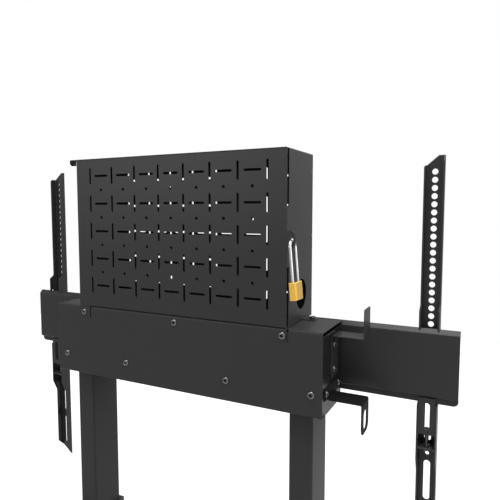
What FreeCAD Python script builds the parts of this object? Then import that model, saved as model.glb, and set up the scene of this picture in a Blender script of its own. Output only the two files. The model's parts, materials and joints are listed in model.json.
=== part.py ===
import FreeCAD, Part
import math
import os

from FreeCAD import Vector

# Twin-column motorised screen lift. Millimetres, +Z up. The wall is the plane Y = 0, the screen
# hangs on the +Y side, and the origin is the centre of the wall bolt pattern. Everything that the
# motors raise is shown with the lift part way up, as in the middle of its travel.

# General clearances and sheet bends
slide_gap = 0.3
running_gap = 0.1
fastener_gap = 0.1
bend_radius = 1.5

# Travel of the lift from the drawn height
stroke_up = 210.0
stroke_down = 290.0

# Wall rails
rail_spacing = 500.0
rail_overhang = 105.0
rail_height = 80.0
rail_sheet = 3.0
rail_lip = 22.0
wall_slot_inset = 30.0
wall_slot_inner_spacing = 300.0
wall_slot_width = 9.0
wall_slot_length = 30.0

# Columns
column_spacing = 450.0
column_centre_depth = 88.2
outer_tube_width = 50.0
outer_tube_depth = 80.0
outer_tube_wall = 3.0
outer_tube_length = 650.0
inner_tube_width = 39.4
inner_tube_depth = 68.5
inner_tube_wall = 2.5
inner_tube_length = 710.0
tube_corner = 4.0
glide_height = 40.0
collar_height = 14.0
collar_cap = 3.0
collar_wall = 2.0
base_plate_thickness = 6.0
base_plate_border = 4.0

# Spindle drive
spindle_diameter = 16.0
spindle_journal = 12.0
spindle_stop_diameter = 20.0
spindle_stop_height = 6.0
spindle_length = 660.0
nut_height = 40.0
nut_spigot_length = 15.0
nut_top_drop = 15.0
nut_tube_diameter = 28.0
nut_tube_wall = 2.5
bearing_diameter = 30.0
bearing_height = 9.0

# Rear cover
wall_gap = 30.0
cover_top = 750.0
cover_overhang = 2.5
cover_depth = 97.6
cover_height = 130.0
cover_sheet = 1.5
cover_return = 12.0
cover_clearance = 10.0
cover_slit_width = 2.0
cover_slit_height = 20.0
cover_slits = (-183.5, 212.0)
upper_screw_drop = 11.0
upper_screw_columns = (-199.0, 5.0, 203.0)
lower_screw_drop = 95.5
lower_screw_columns = (-101.0, 105.0)
left_corner_screw_inset = 20.0
right_corner_screw_inset = 15.0

# Chassis inside the cover
chassis_sheet = 2.5
chassis_top_drop = 4.0
chassis_height = 114.0
chassis_flange = 18.0
chassis_end_gap = 7.0
head_drop = 54.0
head_plate = 6.0
head_inset = 25.0
head_flange_height = 40.0
gearbox_width = 44.0
gearbox_depth = 60.0
gearbox_height = 38.0
motor_diameter = 38.0
motor_length = 90.0
motor_cap_diameter = 32.0
motor_cap_length = 12.0
motor_flange_width = 52.0
motor_flange_sheet = 4.0
control_width = 160.0
control_depth = 40.0
control_height = 45.0
control_drop = 15.0
inlet_width = 27.0
inlet_depth = 20.0
inlet_height = 9.0

# End plates that join the columns, the cover and the crossbeam
end_plate_offset = 40.0
end_plate_sheet = 3.0
end_plate_drop = 133.0
end_plate_flange = 30.0
end_plate_bend = 2.0
end_plate_notch_gap = 0.5
end_plate_front = 28.5
end_plate_chamfer_start = 86.0
end_plate_chamfer_height = 9.5

# Crossbeam
beam_length = 890.0
beam_stand_off = 108.1
beam_sheet = 3.0
beam_web_drop = 10.0
beam_web_height = 98.1
beam_lip_back = 6.4
beam_lip_rise = 7.5
beam_step = 5.9
beam_step_height = 3.4
beam_lower_lip = 8.5
beam_corner = 8.0
beam_lower_corner = 2.0
beam_bolt_inset = 15.0

# Cable hooks on the right end plate
hook_sheet = 1.5
upper_hook_drop = 14.0
upper_hook_reach = 50.5
upper_hook_from = 46.5
upper_hook_width = 35.0
upper_hook_tab = 44.5
upper_hook_corner = 4.0
upper_hook_leg = 68.0
upper_hook_screws = (29.6, 69.7)
upper_hook_screw_depth = 60.4
lower_hook_drop = 112.0
lower_hook_reach = 52.0
lower_hook_from = 33.0
lower_hook_width = 42.0
lower_hook_tab = 48.0
lower_hook_leg = 22.0
lower_hook_foot_from = 16.0
lower_hook_foot_width = 77.0
lower_hook_ring_width = 18.0
lower_hook_ring_height = 30.0
lower_hook_screw_drop = 98.4
lower_hook_screw_depths = (23.8, 85.2)

# Equipment box on the cover
box_width = 420.0
box_depth = 112.5
box_height = 271.0
box_sheet = 1.5
wall_front_inset = 9.0
strike_from = 93.0
strike_to = 183.0
back_panel_depth = 101.6
back_panel_flange = 9.0
cable_hole_depth = 63.5
cable_hole_height = 44.0
cable_hole_width = 44.0
cable_hole_tall = 48.6
ear_width = 17.0
ear_lip = 11.0
ear_depth = 20.0
foot_ear_width = 20.0
foot_ear_depth = 22.0
foot_ear_centre = 82.0
thumb_screw_offset = 13.0
thumb_screw_diameter = 10.0
thumb_screw_height = 3.5

# Perforation shared by the door and the back panel
slot_pitch_x = 50.66
slot_pitch_z = 49.7
slot_columns = 8
slot_rows = 5
slot_length = 30.0
slot_width = 3.8
round_hole_diameter = 5.0
first_column = -176.4
top_row_height = 239.9
back_first_column = -174.0
back_top_row_height = 236.9

# Door, hinges, hasp tab and padlock
door_gap = 0.3
hinge_height = 60.0
hinge_offset = 4.0
hinge_depth = 4.4
hinge_barrel = 5.0
hinge_pin = 2.4
hinge_leaf_sheet = 1.0
hinge_leaf_width = 21.0
hinge_fixed_leaf = 26.0
hinge_centres = (50.0, 221.0)
hinge_knuckle_gap = 0.3
tab_reach = 13.8
tab_from = 122.0
tab_to = 148.8
tab_corner = 8.0
tab_hole_width = 6.2
tab_hole_from = 128.0
tab_hole_to = 139.5
shackle_rod = 4.8
shackle_spacing = 21.0
shackle_tilt = 5.0
shackle_top = 134.0
shackle_offset = 7.0
shackle_front = 6.4
short_leg_end = 60.0
long_leg_end = 50.0
lock_width = 12.0
lock_depth = 28.5
lock_bottom = 45.0
lock_height = 27.0
lock_corner = 3.0
plug_diameter = 7.0
plug_length = 11.0
plug_proud = 0.8
key_slot_width = 1.2
key_slot_length = 4.8
key_slot_depth = 7.0

# Screen arms
arm_spacing = 800.0
arm_width = 30.0
arm_sheet = 2.5
arm_bend = 1.5
arm_web_stand_off = 133.6
arm_flange_front = 121.0
arm_jaw_front = 110.5
arm_above_cover = 262.3
arm_below_cover = 389.5
arm_top_flat = 10.0
arm_top_bevel = 17.3
arm_bottom_bevel = 19.5
arm_flange_top = 243.0
arm_flange_bottom = 365.0
arm_flange_end_slope = 6.0
jaw_top = 24.4
jaw_bottom = 212.0
jaw_ramp_top = 7.5
jaw_ramp_bottom = 24.0
jaw_clearance = 0.4
jaw_mouth_depth = 8.0
hole_diameter = 9.0
hole_pitch = 12.5
hole_first = 237.4
hole_count = 20
arm_slot_width = 10.0
arm_slots = ((118.0, 189.0), (222.0, 288.0), (302.0, 366.0))
arm_small_hole = 6.0
arm_small_hole_drop = 210.0

# Lock under each arm
lock_plate_sheet = 2.5
lock_plate_top = 112.0
lock_plate_bottom = 172.0
lock_slot_width = 9.0
lock_slot_from = 120.0
lock_slot_to = 162.0
lock_shelf_drop = 192.5
lock_screw_depth = 122.0
lock_screw_diameter = 6.0
lock_screw_head = 10.0
lock_screw_head_height = 4.0
lock_screw_collar = 9.0
lock_screw_collar_height = 2.5
lock_screw_top = 163.0
lock_nut_width = 10.0
lock_nut_height = 5.0

# Screws and bolts
pan_head = 9.0
pan_head_height = 2.6
pan_shank = 5.0
pan_length = 9.0
rail_bolt_head = 13.0
rail_bolt_head_height = 5.5
rail_bolt_shank = 8.0
rail_bolt_inset = 14.0
box_bolt_head = 10.0
box_bolt_head_height = 4.0
box_bolt_shank = 6.0
box_bolt_nut_height = 5.0
box_bolt_columns = (-150.0, 150.0)
box_bolt_depths = (30.0, 80.0)
rivet_head = 6.0
rivet_head_height = 1.0
rivet_shank = 3.2
rivet_heights = (30.0, 135.0, 240.0)

# Places worked out from the sizes above
rail_length = column_spacing + 2 * rail_overhang
wall_slot_spacing = rail_length - 2 * wall_slot_inset
end_plate_outside = column_spacing + 2 * end_plate_offset
cover_width = end_plate_outside + 2 * cover_overhang
chassis_length = end_plate_outside - 2 * chassis_end_gap
cover_bottom = cover_top - cover_height
outer_tube_top = cover_bottom - stroke_down - cover_clearance
outer_tube_bottom = outer_tube_top - outer_tube_length
head_top = cover_top - head_drop
head_bottom = head_top - head_plate
inner_tube_bottom = head_bottom - inner_tube_length
nut_top = outer_tube_top - nut_top_drop
beam_face = wall_gap + beam_stand_off
beam_web_top = cover_top - beam_web_drop
beam_web_bottom = beam_web_top - beam_web_height
chassis_top = cover_top - chassis_top_drop
chassis_face = wall_gap + cover_sheet
end_plate_x = end_plate_outside / 2
box_half = box_width / 2
hinge_x = -box_half + hinge_offset
hinge_y = wall_gap + hinge_depth
pivot_x = box_half + shackle_offset
shackle_centre = wall_gap - shackle_front + shackle_spacing / 2
bow_radius = shackle_spacing / 2
bow_centre = cover_top + shackle_top - bow_radius
tab_offset = shackle_centre - wall_gap - box_sheet / 2
pivot_z = bow_centre + math.sqrt(bow_radius ** 2 - tab_offset ** 2)


def at(plane, u, v, w):
    """Point with coordinates u, v in a plane and w along its normal."""
    if plane == "yz":
        return Vector(w, u, v)
    if plane == "xz":
        return Vector(u, w, v)
    return Vector(u, v, w)


def corner_arc(before, corner, after, radius):
    """Start, middle and end of the arc that rounds one corner of an outline."""
    to_before = (before - corner).normalize()
    to_after = (after - corner).normalize()
    half_angle = to_before.getAngle(to_after) / 2
    reach = radius / math.tan(half_angle)
    bisector = (to_before + to_after).normalize()
    centre = corner + bisector * (radius / math.sin(half_angle))
    middle = centre - bisector * radius
    return corner + to_before * reach, middle, corner + to_after * reach


def outline_face(points, plane, level, radii=0.0):
    """Face inside a closed outline whose corners are rounded where a radius is given."""
    corners = [at(plane, u, v, level) for u, v in points]
    count = len(corners)
    if not isinstance(radii, (list, tuple)):
        radii = [radii] * count
    edges = []
    ends = []
    for index, corner in enumerate(corners):
        if radii[index] > 0:
            following = corners[(index + 1) % count]
            start, middle, end = corner_arc(corners[index - 1], corner, following, radii[index])
            edges.append(Part.Arc(start, middle, end).toShape())
            ends.append((start, end))
        else:
            edges.append(None)
            ends.append((corner, corner))
    joined = []
    for index in range(count):
        if edges[index] is not None:
            joined.append(edges[index])
        start = ends[index][1]
        end = ends[(index + 1) % count][0]
        if start.distanceToPoint(end) > 1e-6:
            joined.append(Part.makeLine(start, end))
    return Part.Face(Part.Wire(joined))


def plate(points, plane, start, end, radii=0.0):
    """Flat piece with the given outline, from one level to another along the plane's normal."""
    return outline_face(points, plane, start, radii).extrude(at(plane, 0, 0, end - start))


def block(x, y, z):
    """Box between two limits on each axis."""
    return Part.makeBox(x[1] - x[0], y[1] - y[0], z[1] - z[0], Vector(x[0], y[0], z[0]))


def rod(diameter, start, direction, length):
    """Cylinder from a start point along a direction."""
    return Part.makeCylinder(diameter / 2, length, start, direction)


def fused(pieces):
    """One clean solid from pieces that meet."""
    return pieces[0].multiFuse(pieces[1:]).removeSplitter()


def mirrored(shape):
    """The same piece on the other side of the centre plane."""
    return shape.mirror(Vector(0, 0, 0), Vector(1, 0, 0))


def rectangle(u, v):
    """Four corners of a rectangle between two limits on each axis."""
    return [(u[0], v[0]), (u[1], v[0]), (u[1], v[1]), (u[0], v[1])]


def strip_points(path, thickness):
    """Both sides of a sheet strip that follows a path; the second side lies to the path's left."""
    offset = []
    for index, (u, v) in enumerate(path):
        normals = []
        for first, second in ((index - 1, index), (index, index + 1)):
            if first < 0 or second >= len(path):
                continue
            du = path[second][0] - path[first][0]
            dv = path[second][1] - path[first][1]
            length = math.hypot(du, dv)
            normals.append((-dv / length, du / length))
        if len(normals) == 1:
            shift = normals[0]
        else:
            (a, b), (c, d) = normals
            scale = 1 + a * c + b * d
            shift = ((a + c) / scale, (b + d) / scale)
        offset.append((u + shift[0] * thickness, v + shift[1] * thickness))
    return offset


def bent_sheet(path, thickness, plane, start, end, radius=bend_radius):
    """Bent sheet whose cross-section follows an open path, with true inner and outer bends."""
    inner = strip_points(path, thickness)
    near = []
    far = []
    for index in range(len(path)):
        if index in (0, len(path) - 1):
            near.append(0.0)
            far.append(0.0)
            continue
        (a, b), (c, d), (e, f) = path[index - 1], path[index], path[index + 1]
        turn = (c - a) * (f - d) - (d - b) * (e - c)
        near.append(radius + thickness if turn > 0 else radius)
        far.append(radius if turn > 0 else radius + thickness)
    points = list(path) + inner[::-1]
    return plate(points, plane, start, end, near + far[::-1])


def punched_slot(centre_u, centre_v, length, width, start, end, upright=False):
    """Cutter along Y with its corners cut off, long along X or, if upright, along Z."""
    half = length / 2
    side = width / 2
    bevel = width / 4
    points = [(-half, -bevel), (-half + bevel, -side), (half - bevel, -side), (half, -bevel)]
    points += [(half, bevel), (half - bevel, side), (-half + bevel, side), (-half, bevel)]
    if upright:
        points = [(-v, u) for u, v in points]
    return plate([(centre_u + u, centre_v + v) for u, v in points], "xz", start, end)


def punched_hole(diameter, x, z, start, end):
    """Six-sided cutter along Y for the small holes between the slots."""
    angles = [math.radians(60 * step) for step in range(6)]
    points = [(x + diameter / 2 * math.cos(a), z + diameter / 2 * math.sin(a)) for a in angles]
    return plate(points, "xz", start, end)


def slot(centre_u, centre_v, length, width, plane, start, end, upright=False):
    """Cutter with rounded ends, long along the first axis or, if upright, along the second."""
    straight = (length - width) / 2
    radius = width / 2
    signs = ((-1, -1), (1, -1), (1, 1), (-1, 1))
    corners = []
    for along, across in signs:
        u, v = along * straight, across * radius
        corners.append((centre_u - v, centre_v + u) if upright else (centre_u + u, centre_v + v))
    caps = []
    for along in (1, -1):
        tip = along * (straight + radius)
        caps.append((centre_u, centre_v + tip) if upright else (centre_u + tip, centre_v))
    a, b, c, d = [at(plane, u, v, start) for u, v in corners]
    far_cap, near_cap = [at(plane, u, v, start) for u, v in caps]
    edges = [Part.makeLine(a, b), Part.Arc(b, far_cap, c).toShape()]
    edges += [Part.makeLine(c, d), Part.Arc(d, near_cap, a).toShape()]
    return Part.Face(Part.Wire(edges)).extrude(at(plane, 0, 0, end - start))


def rectangular_tube(width, depth, wall, bottom, top, centre_y, corner=tube_corner):
    """Upright tube with rounded corners, centred on X = 0."""
    outside = rectangle((-width / 2, width / 2), (centre_y - depth / 2, centre_y + depth / 2))
    half_in = width / 2 - wall
    deep_in = depth / 2 - wall
    inside = rectangle((-half_in, half_in), (centre_y - deep_in, centre_y + deep_in))
    bore = plate(inside, "xy", bottom, top, max(corner - wall, 0.5))
    return plate(outside, "xy", bottom, top, corner).cut(bore)


def screw(head, head_height, shank, length, seat, direction, crown=0.25):
    """Headed screw whose head stands on the seat point and whose shank runs along the direction."""
    rim = head_height * (1 - crown)
    profile = [(0, -head_height), (head * 0.35, -head_height), (head / 2, -rim), (head / 2, 0)]
    profile += [(shank / 2, 0), (shank / 2, length), (0, length)]
    points = [Vector(r, 0, h) for r, h in profile]
    face = Part.Face(Part.makePolygon(points + points[:1]))
    solid = face.revolve(Vector(0, 0, 0), Vector(0, 0, 1), 360)
    turn = FreeCAD.Rotation(Vector(0, 0, 1), direction)
    return solid.transformGeometry(FreeCAD.Placement(seat, turn).toMatrix())


def hexagon(across_flats, height, centre):
    """Hexagonal prism standing on its centre point."""
    radius = across_flats / math.sqrt(3)
    corners = [math.radians(60 * step) for step in range(6)]
    points = [(centre.x + radius * math.cos(a), centre.y + radius * math.sin(a)) for a in corners]
    return plate(points, "xy", centre.z, centre.z + height)


def moved_to_column(shape, side):
    """A column piece drawn at X = 0, moved to the left (-1) or right (+1) column."""
    return shape.translated(Vector(side * column_spacing / 2, 0, 0))


def hole(diameter, x, z, y):
    """Round cutter along Y between two depths."""
    return rod(diameter + 2 * fastener_gap, Vector(x, y[0], z), Vector(0, 1, 0), y[1] - y[0])


def rail_bolt_places():
    """X and Z of every bolt that holds an outer tube to the lips of the wall rails."""
    places = []
    for side in (-1, 1):
        for rail in (-1, 1):
            for lip in (-1, 1):
                height = rail * rail_spacing / 2 + lip * (rail_height / 2 - rail_bolt_inset)
                places.append((side * column_spacing / 2, height))
    return places


def wall_rail(height):
    """Lipped channel against the wall, with slots for the wall bolts."""
    bottom = height - rail_height / 2
    top = height + rail_height / 2
    tube_face = column_centre_depth - outer_tube_depth / 2
    path = [(tube_face, bottom + rail_lip), (tube_face, bottom), (0, bottom)]
    path += [(0, top), (tube_face, top), (tube_face, top - rail_lip)]
    rail = bent_sheet(path[::-1], rail_sheet, "yz", -rail_length / 2, rail_length / 2, 2.5)
    cutters = []
    for x in (wall_slot_spacing / 2, wall_slot_inner_spacing / 2):
        for side in (-1, 1):
            cutters.append(slot(side * x, height, wall_slot_length, wall_slot_width, "xz",
                                -1, rail_sheet + 1))
    for x, z in rail_bolt_places():
        cutters.append(hole(rail_bolt_shank, x, z, (tube_face - rail_sheet - 1, tube_face + 1)))
    return rail.cut(Part.makeCompound(cutters))


def outer_tube(side):
    """Fixed tube of one column, bored for the rail bolts."""
    tube = rectangular_tube(outer_tube_width, outer_tube_depth, outer_tube_wall, outer_tube_bottom,
                            outer_tube_top, column_centre_depth)
    tube = moved_to_column(tube, side)
    front = column_centre_depth - outer_tube_depth / 2
    cutters = [hole(rail_bolt_shank, x, z, (front - 1, front + outer_tube_wall + 1))
               for x, z in rail_bolt_places()]
    return tube.cut(Part.makeCompound(cutters))


def rail_bolts():
    """Bolts from inside the rail lips into the outer tubes."""
    tube_face = column_centre_depth - outer_tube_depth / 2
    seat = tube_face - rail_sheet
    length = rail_sheet + outer_tube_wall
    bolts = [screw(rail_bolt_head, rail_bolt_head_height, rail_bolt_shank, length, Vector(x, seat, z),
                   Vector(0, 1, 0)) for x, z in rail_bolt_places()]
    return Part.makeCompound(bolts)


def base_plate(side):
    """Plate that closes an outer tube and carries its nut tube."""
    half_x = outer_tube_width / 2 + base_plate_border
    half_y = outer_tube_depth / 2 + base_plate_border
    top = outer_tube_bottom
    front = column_centre_depth - outer_tube_depth / 2
    points = rectangle((-half_x, half_x), (front, column_centre_depth + half_y))
    solid = plate(points, "xy", top - base_plate_thickness, top, tube_corner)
    return moved_to_column(solid, side)


def nut_tube(side):
    """Round tube that stands on the base plate and carries the spindle nut."""
    start = Vector(0, column_centre_depth, outer_tube_bottom)
    length = nut_top - nut_height - outer_tube_bottom
    tube = rod(nut_tube_diameter, start, Vector(0, 0, 1), length)
    bore = rod(nut_tube_diameter - 2 * nut_tube_wall, start, Vector(0, 0, 1), length)
    return moved_to_column(tube.cut(bore), side)


def spindle_nut(side):
    """Plastic nut with a spigot in the nut tube."""
    base = Vector(0, column_centre_depth, nut_top - nut_height)
    body = rod(nut_tube_diameter, base, Vector(0, 0, 1), nut_height)
    spigot_diameter = nut_tube_diameter - 2 * nut_tube_wall - 2 * fastener_gap
    foot = base - Vector(0, 0, nut_spigot_length)
    spigot = rod(spigot_diameter, foot, Vector(0, 0, 1), nut_spigot_length)
    bore = rod(spindle_diameter + 2 * running_gap, foot - Vector(0, 0, 1), Vector(0, 0, 1),
               nut_height + nut_spigot_length + 2)
    return moved_to_column(fused([body, spigot]).cut(bore), side)


def liner(outside_x, outside_y, inside_x, inside_y, bottom, top):
    """Four flat pads in the gap between two rectangular tubes, clear of their corners."""
    pads = []
    reach = tube_corner + 2
    for sign in (-1, 1):
        x = sorted((sign * inside_x, sign * outside_x))
        y = (column_centre_depth - inside_y + reach, column_centre_depth + inside_y - reach)
        pads.append(block(x, y, (bottom, top)))
        y = sorted((column_centre_depth + sign * inside_y, column_centre_depth + sign * outside_y))
        pads.append(block((-inside_x + reach, inside_x - reach), y, (bottom, top)))
    return Part.makeCompound(pads)


def glide_pads(side):
    """Plastic pads inside the mouth of an outer tube."""
    outside = (outer_tube_width / 2 - outer_tube_wall, outer_tube_depth / 2 - outer_tube_wall)
    inside = (inner_tube_width / 2 + slide_gap, inner_tube_depth / 2 + slide_gap)
    top = outer_tube_top - collar_cap
    pads = liner(outside[0], outside[1], inside[0], inside[1], top - glide_height, top)
    return moved_to_column(pads, side)


def glide_shoes(side):
    """Plastic shoes round the foot of an inner tube."""
    outside = (outer_tube_width / 2 - outer_tube_wall - slide_gap,
               outer_tube_depth / 2 - outer_tube_wall - slide_gap)
    inside = (inner_tube_width / 2, inner_tube_depth / 2)
    bottom = inner_tube_bottom
    shoes = liner(outside[0], outside[1], inside[0], inside[1], bottom, bottom + glide_height)
    return moved_to_column(shoes, side)


def tube_collar(side):
    """Plastic collar on the mouth of an outer tube."""
    half_x = outer_tube_width / 2 + collar_wall
    half_y = outer_tube_depth / 2
    y = (column_centre_depth - half_y - collar_wall, column_centre_depth + half_y + collar_wall)
    bottom = outer_tube_top + collar_cap - collar_height
    collar = plate(rectangle((-half_x, half_x), y), "xy", bottom, outer_tube_top + collar_cap,
                   tube_corner + collar_wall)
    socket_x = outer_tube_width / 2
    socket_y = (column_centre_depth - half_y, column_centre_depth + half_y)
    socket = plate(rectangle((-socket_x, socket_x), socket_y), "xy", bottom, outer_tube_top, tube_corner)
    mouth_x = inner_tube_width / 2 + slide_gap
    mouth_half = inner_tube_depth / 2 + slide_gap
    mouth_y = (column_centre_depth - mouth_half, column_centre_depth + mouth_half)
    mouth = plate(rectangle((-mouth_x, mouth_x), mouth_y), "xy", outer_tube_top - 1,
                  outer_tube_top + collar_cap + 1, tube_corner)
    return moved_to_column(collar.cut(socket).cut(mouth), side)


def inner_tube(side):
    """Sliding tube of one column, welded under its head."""
    tube = rectangular_tube(inner_tube_width, inner_tube_depth, inner_tube_wall, inner_tube_bottom,
                            head_bottom, column_centre_depth)
    return moved_to_column(tube, side)


def column_head():
    """Bracket on the right inner tube: a plate over the tube and a flange down the end plate."""
    outer_face = end_plate_x - end_plate_sheet
    inner_edge = column_spacing / 2 - head_inset
    path = [(outer_face, head_top - head_flange_height), (outer_face, head_top), (inner_edge, head_top)]
    front = chassis_face + chassis_sheet + end_plate_sheet + end_plate_bend
    back = beam_face - end_plate_sheet - end_plate_bend
    bracket = bent_sheet(path, head_plate / 2, "xz", front, back, 2.0)
    stiffener = block((inner_edge, outer_face - head_plate), (front, back),
                      (head_bottom, head_top - head_plate / 2))
    bracket = fused([bracket, stiffener])
    bore = rod(spindle_diameter + 6, Vector(column_spacing / 2, column_centre_depth, head_bottom - 1),
               Vector(0, 0, 1), head_plate + 2)
    cutters = [bore]
    for drop in upper_hook_screws[1:]:
        start = Vector(outer_face - head_plate, wall_gap + upper_hook_screw_depth, cover_top - drop)
        cutters.append(rod(pan_shank + 2 * fastener_gap, start, Vector(1, 0, 0), head_plate + 1))
    return bracket.cut(Part.makeCompound(cutters))


def gearbox():
    """Worm gear housing on the right column head, with a seat for the spindle bearing."""
    centre = column_spacing / 2
    x = (centre - gearbox_width / 2, centre + gearbox_width / 2)
    y = (column_centre_depth - gearbox_depth / 2, column_centre_depth + gearbox_depth / 2)
    housing = plate(rectangle(x, y), "xy", head_top, head_top + gearbox_height, 6.0)
    axis = Vector(centre, column_centre_depth, head_top)
    recess = rod(bearing_diameter, axis, Vector(0, 0, 1), bearing_height)
    bore = rod(spindle_journal + 2 * running_gap, axis, Vector(0, 0, 1), gearbox_height - 6)
    cover_boss = rod(gearbox_width - 8, axis + Vector(0, 0, gearbox_height), Vector(0, 0, 1), 2.5)
    return fused([housing, cover_boss]).cut(recess).cut(bore)


def spindle_bearing():
    """Ball bearing in the right gearbox, drawn as one ring."""
    axis = Vector(column_spacing / 2, column_centre_depth, head_top)
    ring = rod(bearing_diameter, axis, Vector(0, 0, 1), bearing_height)
    return ring.cut(rod(spindle_journal + 2 * running_gap, axis, Vector(0, 0, 1), bearing_height))


def motor():
    """Motor on the inner side of the right gearbox, with its rear cap and flange."""
    height = head_top + gearbox_height / 2
    start = Vector(column_spacing / 2 - gearbox_width / 2, column_centre_depth, height)
    inward = Vector(-1, 0, 0)
    can = rod(motor_diameter, start, inward, motor_length)
    cap = rod(motor_cap_diameter, start + inward * motor_length, inward, motor_cap_length)
    flange_half = motor_diameter / 2
    across = motor_flange_width / 2
    flange = block((start.x - motor_flange_sheet, start.x),
                   (column_centre_depth - across, column_centre_depth + across),
                   (height - flange_half + 1, height + flange_half - 1))
    return fused([can, cap, flange])


def spindle():
    """Turned spindle of the right column with its journal and bottom stop collar."""
    top = head_bottom - 0.5
    bottom = top - spindle_length
    journal_top = head_top + gearbox_height - 8
    profile = [(0, bottom), (spindle_stop_diameter / 2, bottom)]
    profile += [(spindle_stop_diameter / 2, bottom + spindle_stop_height)]
    shoulder = head_top - slide_gap
    profile += [(spindle_diameter / 2, bottom + spindle_stop_height), (spindle_diameter / 2, shoulder)]
    profile += [(spindle_journal / 2, shoulder), (spindle_journal / 2, journal_top), (0, journal_top)]
    x = column_spacing / 2
    points = [Vector(x + r, column_centre_depth, h) for r, h in profile]
    face = Part.Face(Part.makePolygon(points + points[:1]))
    return face.revolve(Vector(x, column_centre_depth, 0), Vector(0, 0, 1), 360)


def cross_channel():
    """Chassis channel behind the cover's rear face."""
    top = chassis_top
    bottom = top - chassis_height
    depth = chassis_face + chassis_flange
    path = [(depth, bottom), (chassis_face, bottom), (chassis_face, top), (depth, top)]
    half = chassis_length / 2
    channel = bent_sheet(path[::-1], chassis_sheet, "yz", -half, half, 2.0)
    cutters = [hole(pan_shank, x, z, (chassis_face - 1, chassis_face + chassis_sheet + 1))
               for x, z in cover_screw_places()]
    return channel.cut(Part.makeCompound(cutters))


def cover_screw_places():
    """X and Z of the screws on the cover's rear face."""
    upper = [(x, cover_top - upper_screw_drop) for x in upper_screw_columns]
    corners = (left_corner_screw_inset - end_plate_x, end_plate_x - right_corner_screw_inset)
    lower = [(x, cover_top - lower_screw_drop) for x in lower_screw_columns + corners]
    return upper + lower


def cover():
    """Sheet cover: rear face, top and short returns, open below and at its ends."""
    front = wall_gap
    back = wall_gap + cover_depth
    path = [(front + cover_return, cover_bottom), (front, cover_bottom), (front, cover_top)]
    path += [(back, cover_top), (back, cover_top - cover_return + 2)]
    half = cover_width / 2
    sheet = bent_sheet(path[::-1], cover_sheet, "yz", -half, half)
    through = (front - 1, front + cover_sheet + 1)
    cutters = [hole(pan_shank, x, z, through) for x, z in cover_screw_places()]
    for x in cover_slits:
        cutters.append(block((x - cover_slit_width / 2, x + cover_slit_width / 2), through,
                             (cover_top - cover_slit_height, cover_top - cover_sheet - bend_radius)))
    for x in box_bolt_columns:
        for depth in box_bolt_depths:
            start = Vector(x, wall_gap + depth, cover_top - cover_sheet - 1)
            cutters.append(rod(box_bolt_shank + 2 * fastener_gap, start, Vector(0, 0, 1), cover_sheet + 2))
    start = Vector(box_half + thumb_screw_offset, wall_gap + foot_ear_centre, cover_top - cover_sheet - 1)
    cutters.append(rod(pan_shank + 2 * fastener_gap, start, Vector(0, 0, 1), cover_sheet + 2))
    return sheet.cut(Part.makeCompound(cutters))


def cover_screws():
    """Pan-head screws through the cover into the chassis."""
    screws = [screw(pan_head, pan_head_height, pan_shank, pan_length, Vector(x, wall_gap, z), Vector(0, 1, 0))
              for x, z in cover_screw_places()]
    return Part.makeCompound(screws)


def end_plate():
    """Right end plate with its front and rear flanges folded inward."""
    front = chassis_face + chassis_sheet
    inner = end_plate_x - end_plate_flange
    path = [(inner, front), (end_plate_x, front), (end_plate_x, beam_face), (inner, beam_face)]
    bottom = cover_top - end_plate_drop
    top = cover_top - chassis_top_drop - chassis_sheet - end_plate_bend
    sheet = bent_sheet(path, end_plate_sheet, "xy", bottom, top, end_plate_bend)
    chassis_bottom = chassis_top - chassis_height
    side_points = [(front - 1, top), (front - 1, chassis_bottom), (wall_gap + end_plate_front, bottom)]
    side_points += [(wall_gap + end_plate_chamfer_start, bottom)]
    side_points += [(beam_face + 1, bottom + end_plate_chamfer_height), (beam_face + 1, top)]
    side_view = plate(side_points, "yz", inner - 1, end_plate_x + 1)
    sheet = sheet.common(side_view)
    flange_x = (inner - 1, end_plate_x - end_plate_sheet)
    rear_y = (beam_face - end_plate_sheet - 1, beam_face + 1)
    lower_rear = block(flange_x, rear_y, (bottom - 1, beam_web_bottom + 3))
    upper_rear = block(flange_x, rear_y, (beam_web_top - 2, top + 1))
    cover_back = wall_gap + cover_depth
    notch = block((inner - 1, end_plate_x + 1),
                  (cover_back - cover_sheet - end_plate_notch_gap, cover_back + end_plate_notch_gap),
                  (cover_top - cover_return + 2 - end_plate_notch_gap, top + 1))
    chassis_zone = block(flange_x, (front - 1, chassis_face + chassis_flange + 1),
                         (bottom - 1, chassis_bottom + chassis_sheet + end_plate_bend))
    cutters = [lower_rear, upper_rear, notch, chassis_zone]
    for x, z in cover_screw_places():
        if abs(x) > inner:
            cutters.append(hole(pan_shank, abs(x), z, (front - 1, front + end_plate_sheet + 1)))
    for drop in upper_hook_screws:
        cutters.append(side_hole(upper_hook_screw_depth, drop))
    for depth in lower_hook_screw_depths:
        cutters.append(side_hole(depth, lower_hook_screw_drop))
    for x, z in beam_bolt_places():
        cutters.append(hole(pan_shank, abs(x), z, (beam_face - end_plate_sheet - 1, beam_face + 1)))
    return sheet.cut(Part.makeCompound(cutters))


def side_hole(depth, drop):
    """Cutter along X through an end plate and what is screwed to its outside."""
    start = Vector(end_plate_x - end_plate_sheet - 1, wall_gap + depth, cover_top - drop)
    return rod(pan_shank + 2 * fastener_gap, start, Vector(1, 0, 0), end_plate_sheet + hook_sheet + 2)


def beam_bolt_places():
    """X and Z of the bolts that join the end plates to the crossbeam."""
    x = end_plate_x - end_plate_flange / 2
    heights = (beam_web_top - beam_bolt_inset, beam_web_bottom + beam_bolt_inset)
    return [(side * x, z) for side in (-1, 1) for z in heights]


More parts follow.
